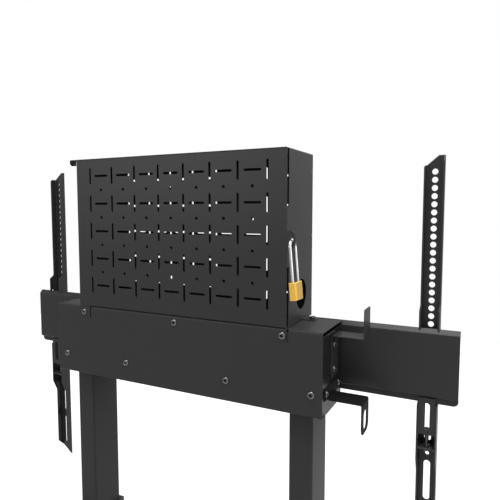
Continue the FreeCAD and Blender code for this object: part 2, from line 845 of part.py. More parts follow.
def frame_bolts():
    """Bolts of the crossbeam and, on the left, of the column head."""
    seat = beam_face - end_plate_sheet
    length = end_plate_sheet + beam_sheet
    bolts = [screw(pan_head, pan_head_height, pan_shank, length, Vector(x, seat, z), Vector(0, 1, 0))
             for x, z in beam_bolt_places()]
    for drop in upper_hook_screws:
        place = Vector(-end_plate_x, wall_gap + upper_hook_screw_depth, cover_top - drop)
        length = end_plate_sheet + head_plate / 2
        bolts.append(screw(pan_head, pan_head_height, pan_shank, length, place, Vector(1, 0, 0)))
    return Part.makeCompound(bolts)


def beam_path():
    """Front line of the crossbeam's section, from the tip of the slanted lip down to the lower lip."""
    step_bottom = beam_web_bottom - beam_step_height
    path = [(beam_face + beam_lip_back, beam_web_top + beam_lip_rise), (beam_face, beam_web_top)]
    path += [(beam_face, beam_web_bottom), (beam_face + beam_step, step_bottom)]
    path += [(beam_face + beam_step, step_bottom - beam_lower_lip)]
    return path


def crossbeam():
    """Bent sheet beam whose slanted upper lip carries the screen arms."""
    half = beam_length / 2
    beam = bent_sheet(beam_path(), beam_sheet, "yz", -half, half, 1.0)
    top = beam_web_top + beam_lip_rise + 1
    bottom = beam_web_bottom - beam_step_height - beam_lower_lip
    front_view = plate(rectangle((-half, half), (bottom, top)), "xz", beam_face - beam_sheet,
                       beam_face + beam_lip_back + beam_step + 2 * beam_sheet,
                       [beam_corner, beam_corner, beam_lower_corner, beam_lower_corner])
    through = (beam_face - 1, beam_face + beam_sheet + 1)
    cutters = [hole(pan_shank, x, z, through) for x, z in beam_bolt_places()]
    return beam.common(front_view).cut(Part.makeCompound(cutters))


def upper_cable_hook():
    """Strip from the right end plate outward, with an upright tab that keeps cables in."""
    inner = end_plate_x
    outer = inner + upper_hook_reach
    level = cover_top - upper_hook_drop
    path = [(inner, level - upper_hook_leg), (inner, level), (outer, level), (outer, level + upper_hook_tab)]
    y = (wall_gap + upper_hook_from, wall_gap + upper_hook_from + upper_hook_width)
    hook = bent_sheet(path[::-1], hook_sheet, "xz", y[0], y[1])
    side = rectangle(y, (level - upper_hook_leg, level + upper_hook_tab))
    side_view = plate(side, "yz", inner - 1, outer + 2, upper_hook_corner)
    cutters = [side_hole(upper_hook_screw_depth, drop) for drop in upper_hook_screws]
    return hook.common(side_view).cut(Part.makeCompound(cutters))


def lower_cable_hook():
    """Strip from the right end plate outward, with a down-turned tab that has a cable ring."""
    inner = end_plate_x
    outer = inner + lower_hook_reach
    level = cover_top - lower_hook_drop
    path = [(inner, level + lower_hook_leg), (inner, level), (outer, level), (outer, level - lower_hook_tab)]
    y = (wall_gap + lower_hook_from, wall_gap + lower_hook_from + lower_hook_width)
    foot_y = (wall_gap + lower_hook_foot_from, wall_gap + lower_hook_foot_from + lower_hook_foot_width)
    hook = bent_sheet(path, hook_sheet, "xz", foot_y[0], foot_y[1])
    foot = level - lower_hook_tab
    strip = plate(rectangle(y, (foot, level + lower_hook_leg)), "yz", inner - 1, outer + 2,
                  [12.0, 12.0, 0, 0])
    screw_foot = plate(rectangle(foot_y, (level + 2 * hook_sheet, level + lower_hook_leg)), "yz", inner - 1,
                       inner + 2 * hook_sheet, 3.0)
    hook = hook.common(fused([strip, screw_foot]))
    ring_centre = foot + 6 + lower_hook_ring_height / 2
    ring = slot((y[0] + y[1]) / 2, ring_centre, lower_hook_ring_height, lower_hook_ring_width, "yz",
                outer - 3, outer + 3, upright=True)
    cutters = [ring] + [side_hole(depth, lower_hook_screw_drop) for depth in lower_hook_screw_depths]
    return hook.cut(Part.makeCompound(cutters))


def hook_screws():
    """Screws that hold both cable hooks to the right end plate."""
    screws = []
    for drop in upper_hook_screws:
        place = Vector(end_plate_x + hook_sheet, wall_gap + upper_hook_screw_depth, cover_top - drop)
        length = hook_sheet + end_plate_sheet + head_plate / 2
        screws.append(screw(pan_head, pan_head_height, pan_shank, length, place, Vector(-1, 0, 0)))
    for depth in lower_hook_screw_depths:
        place = Vector(end_plate_x + hook_sheet, wall_gap + depth, cover_top - lower_hook_screw_drop)
        length = hook_sheet + end_plate_sheet + 1
        screws.append(screw(pan_head, pan_head_height, pan_shank, length, place, Vector(-1, 0, 0)))
    return Part.makeCompound(screws)


def control_box():
    """Closed housing of the motor control on the chassis, with feet for its screws."""
    front = chassis_face + chassis_sheet
    top = cover_top - control_drop
    half = control_width / 2
    outline = rectangle((-half, half), (front, front + control_depth))
    housing = plate(outline, "xy", top - control_height, top, 3.0)
    feet = block((-half - 12, half + 12), (front, front + 2.5), (top - control_height + 8, top - 8))
    return fused([housing, feet])


def mains_inlet():
    """Appliance inlet on the underside of the control housing, with its three pins."""
    top = cover_top - control_drop - control_height
    centre_x = control_width / 4
    centre_y = chassis_face + chassis_sheet + control_depth / 2
    x = (centre_x - inlet_width / 2, centre_x + inlet_width / 2)
    y = (centre_y - inlet_depth / 2, centre_y + inlet_depth / 2)
    shell = plate(rectangle(x, y), "xy", top - inlet_height, top, 2.0)
    well_x = (x[0] + 2, x[1] - 2)
    well_y = (y[0] + 2, y[1] - 2)
    well = plate(rectangle(well_x, well_y), "xy", top - inlet_height - 1, top - 2, 1.0)
    shell = shell.cut(well)
    pins = [block((centre_x + shift - 1, centre_x + shift + 1), (centre_y - 2 + lift, centre_y + 2 + lift),
                  (top - inlet_height + 1, top - 1)) for shift, lift in ((-7, -2), (0, 2), (7, -2))]
    return fused([shell] + pins)


def perforation(column, row, depth_from, depth_to):
    """Cutters of the slot pattern: upright and level slots in turn, and holes between the rows."""
    cutters = []
    for i in range(slot_columns):
        for j in range(slot_rows):
            x = column + i * slot_pitch_x
            z = row - j * slot_pitch_z
            cutters.append(punched_slot(x, z, slot_length, slot_width, depth_from, depth_to, upright=True))
            if i == slot_columns - 1:
                continue
            middle = x + slot_pitch_x / 2
            cutters.append(punched_slot(middle, z, slot_length, slot_width, depth_from, depth_to))
            if j < slot_rows - 1:
                between = z - slot_pitch_z / 2
                cutters.append(punched_hole(round_hole_diameter, middle, between, depth_from, depth_to))
    return Part.makeCompound(cutters)


def box_shell():
    """Folded box: top, bottom and side walls, open at the door and at the back panel."""
    y = (wall_gap, wall_gap + box_depth)
    z = (cover_top, cover_top + box_height)
    inner = (-box_half + box_sheet, box_half - box_sheet)
    outside = plate(rectangle((-box_half, box_half), z), "xz", y[0], y[1], bend_radius)
    inside = block(inner, (y[0] - 1, y[1] + 1), (z[0] + box_sheet, z[1] - box_sheet))
    shell = outside.cut(inside)
    front = wall_gap + wall_front_inset
    behind_door = wall_gap + box_sheet + door_gap + 0.5
    door_zone = (z[0] + box_sheet, z[1] - box_sheet)
    cutters = [block((-box_half - 1, inner[0] + 0.01), (y[0] - 1, front), door_zone)]
    right = (inner[1] - 0.01, box_half + 1)
    cutters.append(block(right, (y[0] - 1, behind_door), door_zone))
    cutters.append(block(right, (y[0] - 1, front), (door_zone[0], cover_top + strike_from)))
    cutters.append(block(right, (y[0] - 1, front), (cover_top + strike_to, door_zone[1])))
    cutters.append(cable_hole())
    for x in box_bolt_columns:
        for depth in box_bolt_depths:
            cutters.append(rod(box_bolt_shank + 2 * fastener_gap, Vector(x, wall_gap + depth, cover_top - 1),
                               Vector(0, 0, 1), box_sheet + 2))
    for place, direction in rivet_places():
        cutters.append(rod(rivet_shank + 2 * fastener_gap, place + direction * -1, direction, box_sheet + 2))
    shell = shell.cut(Part.makeCompound(cutters))
    return fused([shell, top_ear(), foot_ear()])


def cable_hole():
    """Oval cutter for the cables in the right side wall."""
    centre = Vector(box_half - 5, wall_gap + cable_hole_depth, cover_top + cable_hole_height)
    upright = centre + Vector(0, 0, cable_hole_tall / 2)
    across = centre + Vector(0, cable_hole_width / 2, 0)
    edge = Part.Ellipse(upright, across, centre).toShape()
    return Part.Face(Part.Wire([edge])).extrude(Vector(10, 0, 0))


def top_ear():
    """Ear of the top sheet at the hinge side, with its lip folded down."""
    left = -box_half - ear_width
    right = -box_half + box_sheet
    top = cover_top + box_height
    y = (wall_gap + box_sheet, wall_gap + box_sheet + ear_depth)
    sheet = block((left, right), y, (top - box_sheet, top))
    lip_right = -box_half - 2.2
    lip_points = [(left, top - ear_lip + 4), (left + 4, top - ear_lip), (lip_right, top - ear_lip)]
    lip_points += [(lip_right, top), (left, top)]
    lip = plate(lip_points, "xz", y[0], y[0] + box_sheet)
    return fused([sheet, lip])


def foot_ear():
    """Ear at the foot of the right side wall that takes the thumb screw."""
    x = (box_half - box_sheet, box_half + foot_ear_width)
    half = foot_ear_depth / 2
    y = (wall_gap + foot_ear_centre - half, wall_gap + foot_ear_centre + half)
    ear = plate(rectangle(x, y), "xy", cover_top, cover_top + box_sheet, [0, 6.0, 6.0, 0])
    start = Vector(box_half + thumb_screw_offset, wall_gap + foot_ear_centre, cover_top - 1)
    return ear.cut(rod(pan_shank + 2 * fastener_gap, start, Vector(0, 0, 1), box_sheet + 2))


def box_thumb_screw():
    """Knurled screw that clamps the box to the cover."""
    seat = Vector(box_half + thumb_screw_offset, wall_gap + foot_ear_centre, cover_top + box_sheet)
    body = screw(thumb_screw_diameter, thumb_screw_height, pan_shank, 12.0, seat, Vector(0, 0, -1), 0.15)
    dish = rod(thumb_screw_diameter * 0.5, seat + Vector(0, 0, thumb_screw_height - 1.5), Vector(0, 0, 1), 3)
    return body.cut(dish)


def rivet_places():
    """Head seats and inward directions of the rivets that hold the back panel."""
    y = wall_gap + back_panel_depth + box_sheet + back_panel_flange / 2
    places = []
    for height in rivet_heights:
        for side in (-1, 1):
            places.append((Vector(side * box_half, y, cover_top + height), Vector(-side, 0, 0)))
    return places


def box_rivets():
    """Blind rivets through the side walls into the flanges of the back panel."""
    length = 2 * box_sheet + 2
    rivets = [screw(rivet_head, rivet_head_height, rivet_shank, length, place, direction)
              for place, direction in rivet_places()]
    return Part.makeCompound(rivets)


def box_bolts():
    """Bolts through the floor of the box and the cover, each with its nut."""
    bolts = []
    for x in box_bolt_columns:
        for depth in box_bolt_depths:
            seat = Vector(x, wall_gap + depth, cover_top + box_sheet)
            length = box_sheet + cover_sheet + box_bolt_nut_height + 1
            bolt = screw(box_bolt_head, box_bolt_head_height, box_bolt_shank, length, seat, Vector(0, 0, -1))
            nut_foot = Vector(x, seat.y, cover_top - cover_sheet - box_bolt_nut_height)
            nut = hexagon(box_bolt_head, box_bolt_nut_height, nut_foot)
            bolts.append(fused([bolt, nut]))
    return Part.makeCompound(bolts)


def box_back_panel():
    """Perforated pan riveted between the side walls, toward the screen."""
    fit = 0.2
    x = (-box_half + box_sheet + fit, box_half - box_sheet - fit)
    z = (cover_top + box_sheet + fit, cover_top + box_height - box_sheet - fit)
    face = wall_gap + back_panel_depth
    end = face + box_sheet + back_panel_flange
    pan = plate(rectangle(x, z), "xz", face, end, bend_radius)
    inside = rectangle((x[0] + box_sheet, x[1] - box_sheet), (z[0] + box_sheet, z[1] - box_sheet))
    pan = pan.cut(plate(inside, "xz", face + box_sheet, end + 1))
    top_row = cover_top + back_top_row_height
    cutters = [perforation(back_first_column, top_row, face - 1, face + box_sheet + 1)]
    for place, direction in rivet_places():
        cutters.append(rod(rivet_shank + 2 * fastener_gap, place, direction, 2 * box_sheet + 3))
    return pan.cut(Part.makeCompound(cutters))


def door_panel():
    """Perforated door with the hasp tab that reaches past the side wall."""
    x = (-box_half + 1, box_half)
    z = (cover_top + box_sheet + door_gap, cover_top + box_height - box_sheet - door_gap)
    y = (wall_gap, wall_gap + box_sheet)
    sheet = plate(rectangle(x, z), "xz", y[0], y[1])
    tab_z = (cover_top + tab_from, cover_top + tab_to)
    tab = plate(rectangle((box_half - 1, box_half + tab_reach), tab_z), "xz", y[0], y[1],
                [0, tab_corner, tab_corner, 0])
    hole_height = tab_hole_to - tab_hole_from
    centre_z = cover_top + (tab_hole_from + tab_hole_to) / 2
    keyhole = slot(pivot_x, centre_z, hole_height, tab_hole_width, "xz", y[0] - 1, y[1] + 1, upright=True)
    holes = perforation(first_column, cover_top + top_row_height, y[0] - 1, y[1] + 1)
    return fused([sheet, tab]).cut(keyhole).cut(holes)


def knuckle(low, high):
    """One hinge barrel with its pin bore."""
    axis = Vector(hinge_x, hinge_y, low)
    barrel = rod(hinge_barrel, axis, Vector(0, 0, 1), high - low)
    return barrel.cut(rod(hinge_pin + 2 * running_gap, axis, Vector(0, 0, 1), high - low))


def hinge_pin_bore(low, high):
    """Cutter for the pin through a leaf."""
    return rod(hinge_pin + 2 * running_gap, Vector(hinge_x, hinge_y, low), Vector(0, 0, 1), high - low)


def hinge_fixed_leaves():
    """Leaves on the inside of the left wall, each with two outer knuckles."""
    leaves = []
    for centre in hinge_centres:
        low = cover_top + centre - hinge_height / 2
        high = low + hinge_height
        third = hinge_height / 3
        wall = -box_half + box_sheet
        x = (wall, wall + hinge_leaf_sheet)
        leaf = block(x, (hinge_y, hinge_y + hinge_fixed_leaf), (low, high))
        clear_y = hinge_y + hinge_barrel / 2 + 0.6
        window = block((x[0] - 1, x[1] + 1), (hinge_y - 1, clear_y),
                       (low + third - hinge_knuckle_gap, high - third + hinge_knuckle_gap))
        leaf = leaf.cut(window)
        lower_end = knuckle(low, low + third - hinge_knuckle_gap)
        upper_end = knuckle(high - third + hinge_knuckle_gap, high)
        leaves.append(fused([leaf, lower_end, upper_end]).cut(hinge_pin_bore(low, high)))
    return Part.makeCompound(leaves)


def hinge_door_leaves():
    """Leaves behind the door, each with the middle knuckle."""
    leaves = []
    back = wall_gap + box_sheet
    for centre in hinge_centres:
        low = cover_top + centre - hinge_height / 2
        high = low + hinge_height
        third = hinge_height / 3
        plate_from = hinge_x + hinge_barrel / 2 + 0.6
        leaf = block((plate_from, plate_from + hinge_leaf_width), (back, back + hinge_leaf_sheet),
                     (low, high))
        neck = block((hinge_x, plate_from + 1), (back, back + hinge_leaf_sheet), (low + third, high - third))
        neck = neck.cut(hinge_pin_bore(low, high))
        leaves.append(fused([leaf, neck, knuckle(low + third, high - third)]))
    return Part.makeCompound(leaves)


def hinge_pins():
    """Pins of both door hinges."""
    pins = [rod(hinge_pin, Vector(hinge_x, hinge_y, cover_top + centre - hinge_height / 2 - 1),
                Vector(0, 0, 1), hinge_height + 2) for centre in hinge_centres]
    return Part.makeCompound(pins)


def tilted(shape):
    """A piece of the padlock drawn hanging straight, swung out with the padlock about the hasp tab."""
    turned = shape.copy()
    turned.rotate(Vector(pivot_x, shackle_centre, pivot_z), Vector(0, -1, 0), shackle_tilt)
    return turned


def padlock_shackle():
    """Long bow of round rod through the hasp tab."""
    front = shackle_centre - bow_radius
    back = shackle_centre + bow_radius
    legs = []
    for y_leg, leg_end in ((front, short_leg_end), (back, long_leg_end)):
        foot = cover_top + leg_end
        legs.append(rod(shackle_rod, Vector(pivot_x, y_leg, foot), Vector(0, 0, 1), bow_centre - foot))
    circle = Part.makeCircle(shackle_rod / 2, Vector(pivot_x, front, bow_centre), Vector(0, 0, 1))
    section = Part.Face(Part.Wire([circle]))
    bow = section.revolve(Vector(pivot_x, shackle_centre, bow_centre), Vector(-1, 0, 0), 180)
    return tilted(fused([bow] + legs))


def padlock_body():
    """Brass body with bores for the shackle and a seat for the key plug."""
    x = (pivot_x - lock_width / 2, pivot_x + lock_width / 2)
    y = (shackle_centre - lock_depth / 2, shackle_centre + lock_depth / 2)
    bottom = cover_top + lock_bottom
    body = plate(rectangle(x, y), "xy", bottom, bottom + lock_height, lock_corner)
    middle = bottom + lock_height / 2
    rims = [edge for edge in body.Edges if abs(edge.CenterOfMass.z - middle) > lock_height / 4]
    body = body.makeFillet(1.0, rims)
    cutters = []
    for y_leg, leg_end in ((shackle_centre - bow_radius, short_leg_end),
                           (shackle_centre + bow_radius, long_leg_end)):
        start = Vector(pivot_x, y_leg, cover_top + leg_end - slide_gap)
        cutters.append(rod(shackle_rod + 2 * running_gap, start, Vector(0, 0, 1), lock_height))
    start = Vector(pivot_x, shackle_centre, bottom - 2)
    cutters.append(rod(plug_diameter + 2 * running_gap, start, Vector(0, 0, 1), plug_length + 2 + slide_gap))
    return tilted(body.cut(Part.makeCompound(cutters)))


def padlock_plug():
    """Key plug in the underside of the padlock, with its key slot."""
    bottom = cover_top + lock_bottom - plug_proud
    start = Vector(pivot_x, shackle_centre, bottom)
    plug = rod(plug_diameter, start, Vector(0, 0, 1), plug_length + plug_proud)
    half_width = key_slot_width / 2
    half_length = key_slot_length / 2
    key = block((pivot_x - half_width, pivot_x + half_width),
                (shackle_centre - half_length, shackle_centre + half_length),
                (bottom - 1, bottom + key_slot_depth))
    return tilted(plug.cut(key))


def arm_section_cut():
    """Side view of an arm: deep jaws at the crossbeam, shallow flanges above and below."""
    web_back = wall_gap + arm_web_stand_off + arm_sheet
    web_front = wall_gap + arm_web_stand_off
    shallow = wall_gap + arm_flange_front
    deep = wall_gap + arm_jaw_front
    top = cover_top + arm_above_cover
    bottom = cover_top - arm_below_cover
    flange_top = cover_top + arm_flange_top
    flange_bottom = cover_top - arm_flange_bottom
    points = [(web_back, bottom), (web_back, top), (web_front - 1, top), (shallow, flange_top)]
    points += [(shallow, cover_top + jaw_top + jaw_ramp_top), (deep, cover_top + jaw_top)]
    points += [(deep, cover_top - jaw_bottom), (shallow, cover_top - jaw_bottom - jaw_ramp_bottom)]
    points += [(shallow, flange_bottom + arm_flange_end_slope),
               (web_front - 1, flange_bottom - arm_flange_end_slope), (web_front - 1, bottom)]
    return points


def jaw_notch():
    """Side view of the cut in an arm's flanges that hooks over the crossbeam."""
    tip, web_top, web_bottom, step, lip_end = beam_path()
    slope = beam_lip_rise / beam_lip_back
    lift = jaw_clearance * math.hypot(1, slope)
    front = beam_face - jaw_mouth_depth
    over = tip[1] + lift + 0.4
    behind_lip = tip[0] + beam_sheet + 1.5
    behind_web = beam_face + beam_sheet + jaw_clearance
    behind_step = step[0] + beam_sheet + jaw_clearance
    below = lip_end[1] - 4
    points = [(front, web_top[1] - (beam_face - front) * slope + lift), (tip[0] + 0.3, tip[1] + lift)]
    points += [(tip[0] + 0.8, over), (behind_lip, over), (behind_lip, web_top[1] + 2)]
    points += [(behind_web, web_top[1] - 6), (behind_web, web_bottom[1] + 6), (behind_step, step[1] + 2)]
    points += [(behind_step, below), (front, below)]
    return points


def screen_arm(side):
    """Channel arm for the screen, hooked over the crossbeam, with its lock shelf."""
    centre = side * arm_spacing / 2
    half = arm_width / 2
    front = wall_gap + arm_jaw_front
    back = wall_gap + arm_web_stand_off + arm_sheet
    top = cover_top + arm_above_cover
    bottom = cover_top - arm_below_cover
    path = [(centre + half, front), (centre + half, back), (centre - half, back), (centre - half, front)]
    channel = bent_sheet(path, arm_sheet, "xy", bottom, top, arm_bend)
    side_view = plate(arm_section_cut(), "yz", centre - half - 1, centre + half + 1)
    face_points = [(centre - half, bottom + arm_bottom_bevel), (centre + half - 4, bottom)]
    face_points += [(centre + half, bottom)]
    face_points += [(centre + half, top), (centre + half - arm_top_flat, top)]
    face_points += [(centre - half, top - arm_top_bevel)]
    face_view = plate(face_points, "xz", front - 1, back + 1)
    arm = channel.common(side_view).common(face_view)
    arm = arm.cut(plate(jaw_notch(), "yz", centre - half - 1, centre + half + 1))
    web = (back - arm_sheet - 1, back + 1)
    cutters = []
    for index in range(hole_count):
        start = Vector(centre, web[0], cover_top + hole_first - index * hole_pitch)
        cutters.append(rod(hole_diameter, start, Vector(0, 1, 0), web[1] - web[0]))
    for upper, lower in arm_slots:
        middle = cover_top - (upper + lower) / 2
        cutters.append(slot(centre, middle, lower - upper, arm_slot_width, "xz", web[0], web[1],
                            upright=True))
    start = Vector(centre, web[0], cover_top - arm_small_hole_drop)
    cutters.append(rod(arm_small_hole, start, Vector(0, 1, 0), web[1] - web[0]))
    arm = arm.cut(Part.makeCompound(cutters))
    shelf_top = cover_top - lock_shelf_drop
    inner = half - arm_sheet
    shelf = block((centre - inner, centre + inner), (front, back - arm_sheet),
                  (shelf_top - arm_sheet, shelf_top))
    start = Vector(centre, wall_gap + lock_screw_depth, shelf_top - arm_sheet - 1)
    shelf = shelf.cut(rod(lock_screw_diameter + 2 * running_gap, start, Vector(0, 0, 1), arm_sheet + 2))
    return fused([arm, shelf])


def lock_plate(side):
    """Sliding plate in front of the crossbeam's lower lip, with its folded foot and weld nut."""
    centre = side * arm_spacing / 2
    half = arm_width / 2 - arm_sheet - slide_gap
    front = wall_gap + arm_jaw_front + slide_gap
    back = wall_gap + arm_web_stand_off - arm_bend
    top = cover_top - lock_plate_top
    bottom = cover_top - lock_plate_bottom
    path = [(front, top), (front, bottom), (back, bottom)]
    sheet = bent_sheet(path, lock_plate_sheet, "yz", centre - half, centre + half, 1.0)
    middle = cover_top - (lock_slot_from + lock_slot_to) / 2
    window = slot(centre, middle, lock_slot_to - lock_slot_from, lock_slot_width, "xz", front - 1,
                  front + lock_plate_sheet + 1, upright=True)
    axis = Vector(centre, wall_gap + lock_screw_depth, bottom + lock_plate_sheet)
    nut = hexagon(lock_nut_width, lock_nut_height, axis)
    foot = axis - Vector(0, 0, lock_plate_sheet + 1)
    bore = rod(lock_screw_diameter + 2 * running_gap, foot, Vector(0, 0, 1),
               lock_plate_sheet + lock_nut_height + 2)
    return fused([sheet.cut(window), nut]).cut(bore)


def lock_screw(side):
    """Screw that turns in the arm's shelf and drives the lock plate."""
    axis = Vector(side * arm_spacing / 2, wall_gap + lock_screw_depth, 0)
    shelf_top = cover_top - lock_shelf_drop
    head_top_z = shelf_top - arm_sheet - slide_gap
    head_foot = axis + Vector(0, 0, head_top_z - lock_screw_head_height)
    head = hexagon(lock_screw_head, lock_screw_head_height, head_foot)
    shank = rod(lock_screw_diameter, axis + Vector(0, 0, head_top_z), Vector(0, 0, 1),
                cover_top - lock_screw_top - head_top_z)
    collar = rod(lock_screw_collar, axis + Vector(0, 0, shelf_top + slide_gap), Vector(0, 0, 1),
                 lock_screw_collar_height)
    return fused([head, shank, collar])


def build():
    """All pieces by node name."""
    pieces = {
        "wall_rail_upper": wall_rail(rail_spacing / 2),
        "wall_rail_lower": wall_rail(-rail_spacing / 2),
        "rail_bolts": rail_bolts(),
        "cross_channel": cross_channel(),
        "crossbeam": crossbeam(),
        "cover": cover(),
        "cover_screws": cover_screws(),
        "frame_bolts": frame_bolts(),
        "upper_cable_hook": upper_cable_hook(),
        "lower_cable_hook": lower_cable_hook(),
        "hook_screws": hook_screws(),
        "control_box": control_box(),
        "mains_inlet": mains_inlet(),
        "box_shell": box_shell(),
        "box_back_panel": box_back_panel(),
        "box_rivets": box_rivets(),
        "box_bolts": box_bolts(),
        "box_thumb_screw": box_thumb_screw(),
        "hinge_fixed_leaves": hinge_fixed_leaves(),
        "hinge_pins": hinge_pins(),
        "hinge_door_leaves": hinge_door_leaves(),
        "door_panel": door_panel(),
        "padlock_shackle": padlock_shackle(),
        "padlock_body": padlock_body(),
        "padlock_plug": padlock_plug(),
    }
    for name, side in (("left", -1), ("right", 1)):
        pieces["outer_tube_" + name] = outer_tube(side)
        pieces["base_plate_" + name] = base_plate(side)
        pieces["nut_tube_" + name] = nut_tube(side)
        pieces["spindle_nut_" + name] = spindle_nut(side)
        pieces["glide_pads_" + name] = glide_pads(side)
        pieces["glide_shoes_" + name] = glide_shoes(side)
        pieces["tube_collar_" + name] = tube_collar(side)
        pieces["inner_tube_" + name] = inner_tube(side)
        pieces["screen_arm_" + name] = screen_arm(side)
        pieces["lock_plate_" + name] = lock_plate(side)
        pieces["lock_screw_" + name] = lock_screw(side)
    for label, make in (("column_head", column_head), ("gearbox", gearbox),
                        ("spindle_bearing", spindle_bearing), ("motor", motor),
                        ("spindle", spindle), ("end_plate", end_plate)):
        shape = make()
        pieces[label + "_right"] = shape
        pieces[label + "_left"] = mirrored(shape)
    return pieces


os.makedirs("parts", exist_ok=True)
for node, shape in build().items():
    shape.exportStep("parts/" + node + ".step")
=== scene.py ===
"""Twin-column motorised screen lift, dressed for rendering.

Each sub-assembly is a class with its sizes as fields, in metres, and each surface treatment is a
finish class. The pieces take their places from the solids of the frame.
"""
import json
import logging
import math
from dataclasses import dataclass
from enum import Enum
from typing import Callable, Sequence

import bmesh
import bpy
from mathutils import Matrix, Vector
from mathutils.bvhtree import BVHTree

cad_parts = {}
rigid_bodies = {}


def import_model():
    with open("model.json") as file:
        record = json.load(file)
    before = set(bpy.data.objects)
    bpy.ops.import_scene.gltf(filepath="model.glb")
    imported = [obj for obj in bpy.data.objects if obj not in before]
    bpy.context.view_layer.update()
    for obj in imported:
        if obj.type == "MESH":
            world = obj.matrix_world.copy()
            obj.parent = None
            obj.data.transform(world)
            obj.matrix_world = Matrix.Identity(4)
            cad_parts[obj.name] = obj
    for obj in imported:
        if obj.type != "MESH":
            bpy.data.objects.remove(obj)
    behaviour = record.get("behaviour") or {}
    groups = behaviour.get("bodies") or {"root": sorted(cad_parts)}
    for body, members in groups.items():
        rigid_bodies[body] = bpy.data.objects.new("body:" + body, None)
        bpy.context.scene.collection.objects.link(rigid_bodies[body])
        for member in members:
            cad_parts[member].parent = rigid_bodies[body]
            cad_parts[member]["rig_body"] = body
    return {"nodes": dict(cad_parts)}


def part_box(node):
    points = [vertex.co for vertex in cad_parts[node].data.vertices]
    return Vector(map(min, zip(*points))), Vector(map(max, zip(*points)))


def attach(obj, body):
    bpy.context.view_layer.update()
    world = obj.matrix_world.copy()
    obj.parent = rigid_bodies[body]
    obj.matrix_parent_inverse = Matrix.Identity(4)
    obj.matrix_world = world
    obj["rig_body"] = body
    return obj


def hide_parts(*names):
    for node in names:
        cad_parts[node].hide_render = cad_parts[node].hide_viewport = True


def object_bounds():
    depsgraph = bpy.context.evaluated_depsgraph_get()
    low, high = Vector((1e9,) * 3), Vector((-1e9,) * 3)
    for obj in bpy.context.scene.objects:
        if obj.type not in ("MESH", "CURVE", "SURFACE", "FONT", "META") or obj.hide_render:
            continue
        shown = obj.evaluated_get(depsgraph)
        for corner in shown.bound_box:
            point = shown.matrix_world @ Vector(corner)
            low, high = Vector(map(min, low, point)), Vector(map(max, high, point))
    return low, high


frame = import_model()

CAD_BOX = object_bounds()
LOG = logging.getLogger("screen_lift")

Colour = tuple[float, float, float]
Point = tuple[float, float, float]
Span = tuple[float, float]
Outline = list[tuple[float, float]]
Block = tuple[Point, Point]
Ring = list[Vector]
Shape = bmesh.types.BMesh
Node = bpy.types.Node
Socket = bpy.types.NodeSocket
Value = Socket | float | Colour

# Numbers of the sockets of a colour mix: factor, first and second colour, and the result.
COLOUR_MIX_INPUTS = (0, 6, 7)
COLOUR_MIX_OUTPUT = 2

# Points nearer than the gap are one point, and faces flatter than the angle are one face.
MERGE_GAP = 2e-6
PANEL_MERGE_GAP = 1e-6
FLAT_ANGLE = math.radians(0.4)

# Edges are softened from these angles up, in degrees. The smaller one is for the perforated panels,
# the padlock and the lock screws.
SHARP_ANGLE = 50.0
BLUNT_ANGLE = 40.0

# A softened edge is round, and stays within this part of its width from the plain surface.
ROUND_PROFILE = 0.5
STRAY_SHARE = 0.6

# Large flat faces lead the shading of the softened edges beside them.
NORMAL_WEIGHT = 100

# Corner radius of a slot in parts of its width, and the steps of its round ends.
SLOT_END_SHARE = 0.49
SLOT_END_STEPS = 3

# Sides of a drilled hole and of a socket, steps of one turn of a thread, and sides of its ridge.
DRILL_SIDES = 14
SOCKET_SIDES = 6
THREAD_STEPS = 14
RIDGE_SIDES = 4


class Side(Enum):
    """Side of the lift, with its sign along X."""

    LEFT = -1
    RIGHT = 1

    def named(self, stem: str) -> str:
        """Returns the name of this side's piece of a pair."""
        return f"{stem}_{self.name.lower()}"


class Axis(Enum):
    """Direction in which a fastener's head points."""

    WALL = (0.0, -1.0, 0.0)
    LEFT = (-1.0, 0.0, 0.0)
    RIGHT = (1.0, 0.0, 0.0)
    UP = (0.0, 0.0, 1.0)


class Edge(Enum):
    """Width of a softened edge."""

    LEAF = 0.00015
    SMALL = 0.0002
    PANEL = 0.00025
    THIN_SHEET = 0.0003
    SHEET = 0.0004
    PLATE = 0.0005
    HEAVY = 0.0006
    CASTING = 0.0008
    LOCK_BODY = 0.0010


class TreeKind(Enum):
    """Type of a node group."""

    SHADER = "ShaderNodeTree"
    GEOMETRY = "GeometryNodeTree"


class Kind(Enum):
    """Type of a socket of a node group."""

    FLOAT = "NodeSocketFloat"
    INT = "NodeSocketInt"
    VECTOR = "NodeSocketVector"
    GEOMETRY = "NodeSocketGeometry"
    OBJECT = "NodeSocketObject"
    MATERIAL = "NodeSocketMaterial"


class Recess(Enum):
    """Recess in the head of a fastener, by its rings from the mouth down.

    A ring has its radius, in parts of the hexagon's or of the rivet head's, and its height in parts of
    the head's.
    """

    HEX_SOCKET = ((1.12, 1.0), (1.0, 0.92), (1.0, 0.35), (0.2, 0.25))
    BLIND_RIVET = ((0.3, 0.98), (0.26, 0.6), (0.1, 0.5))


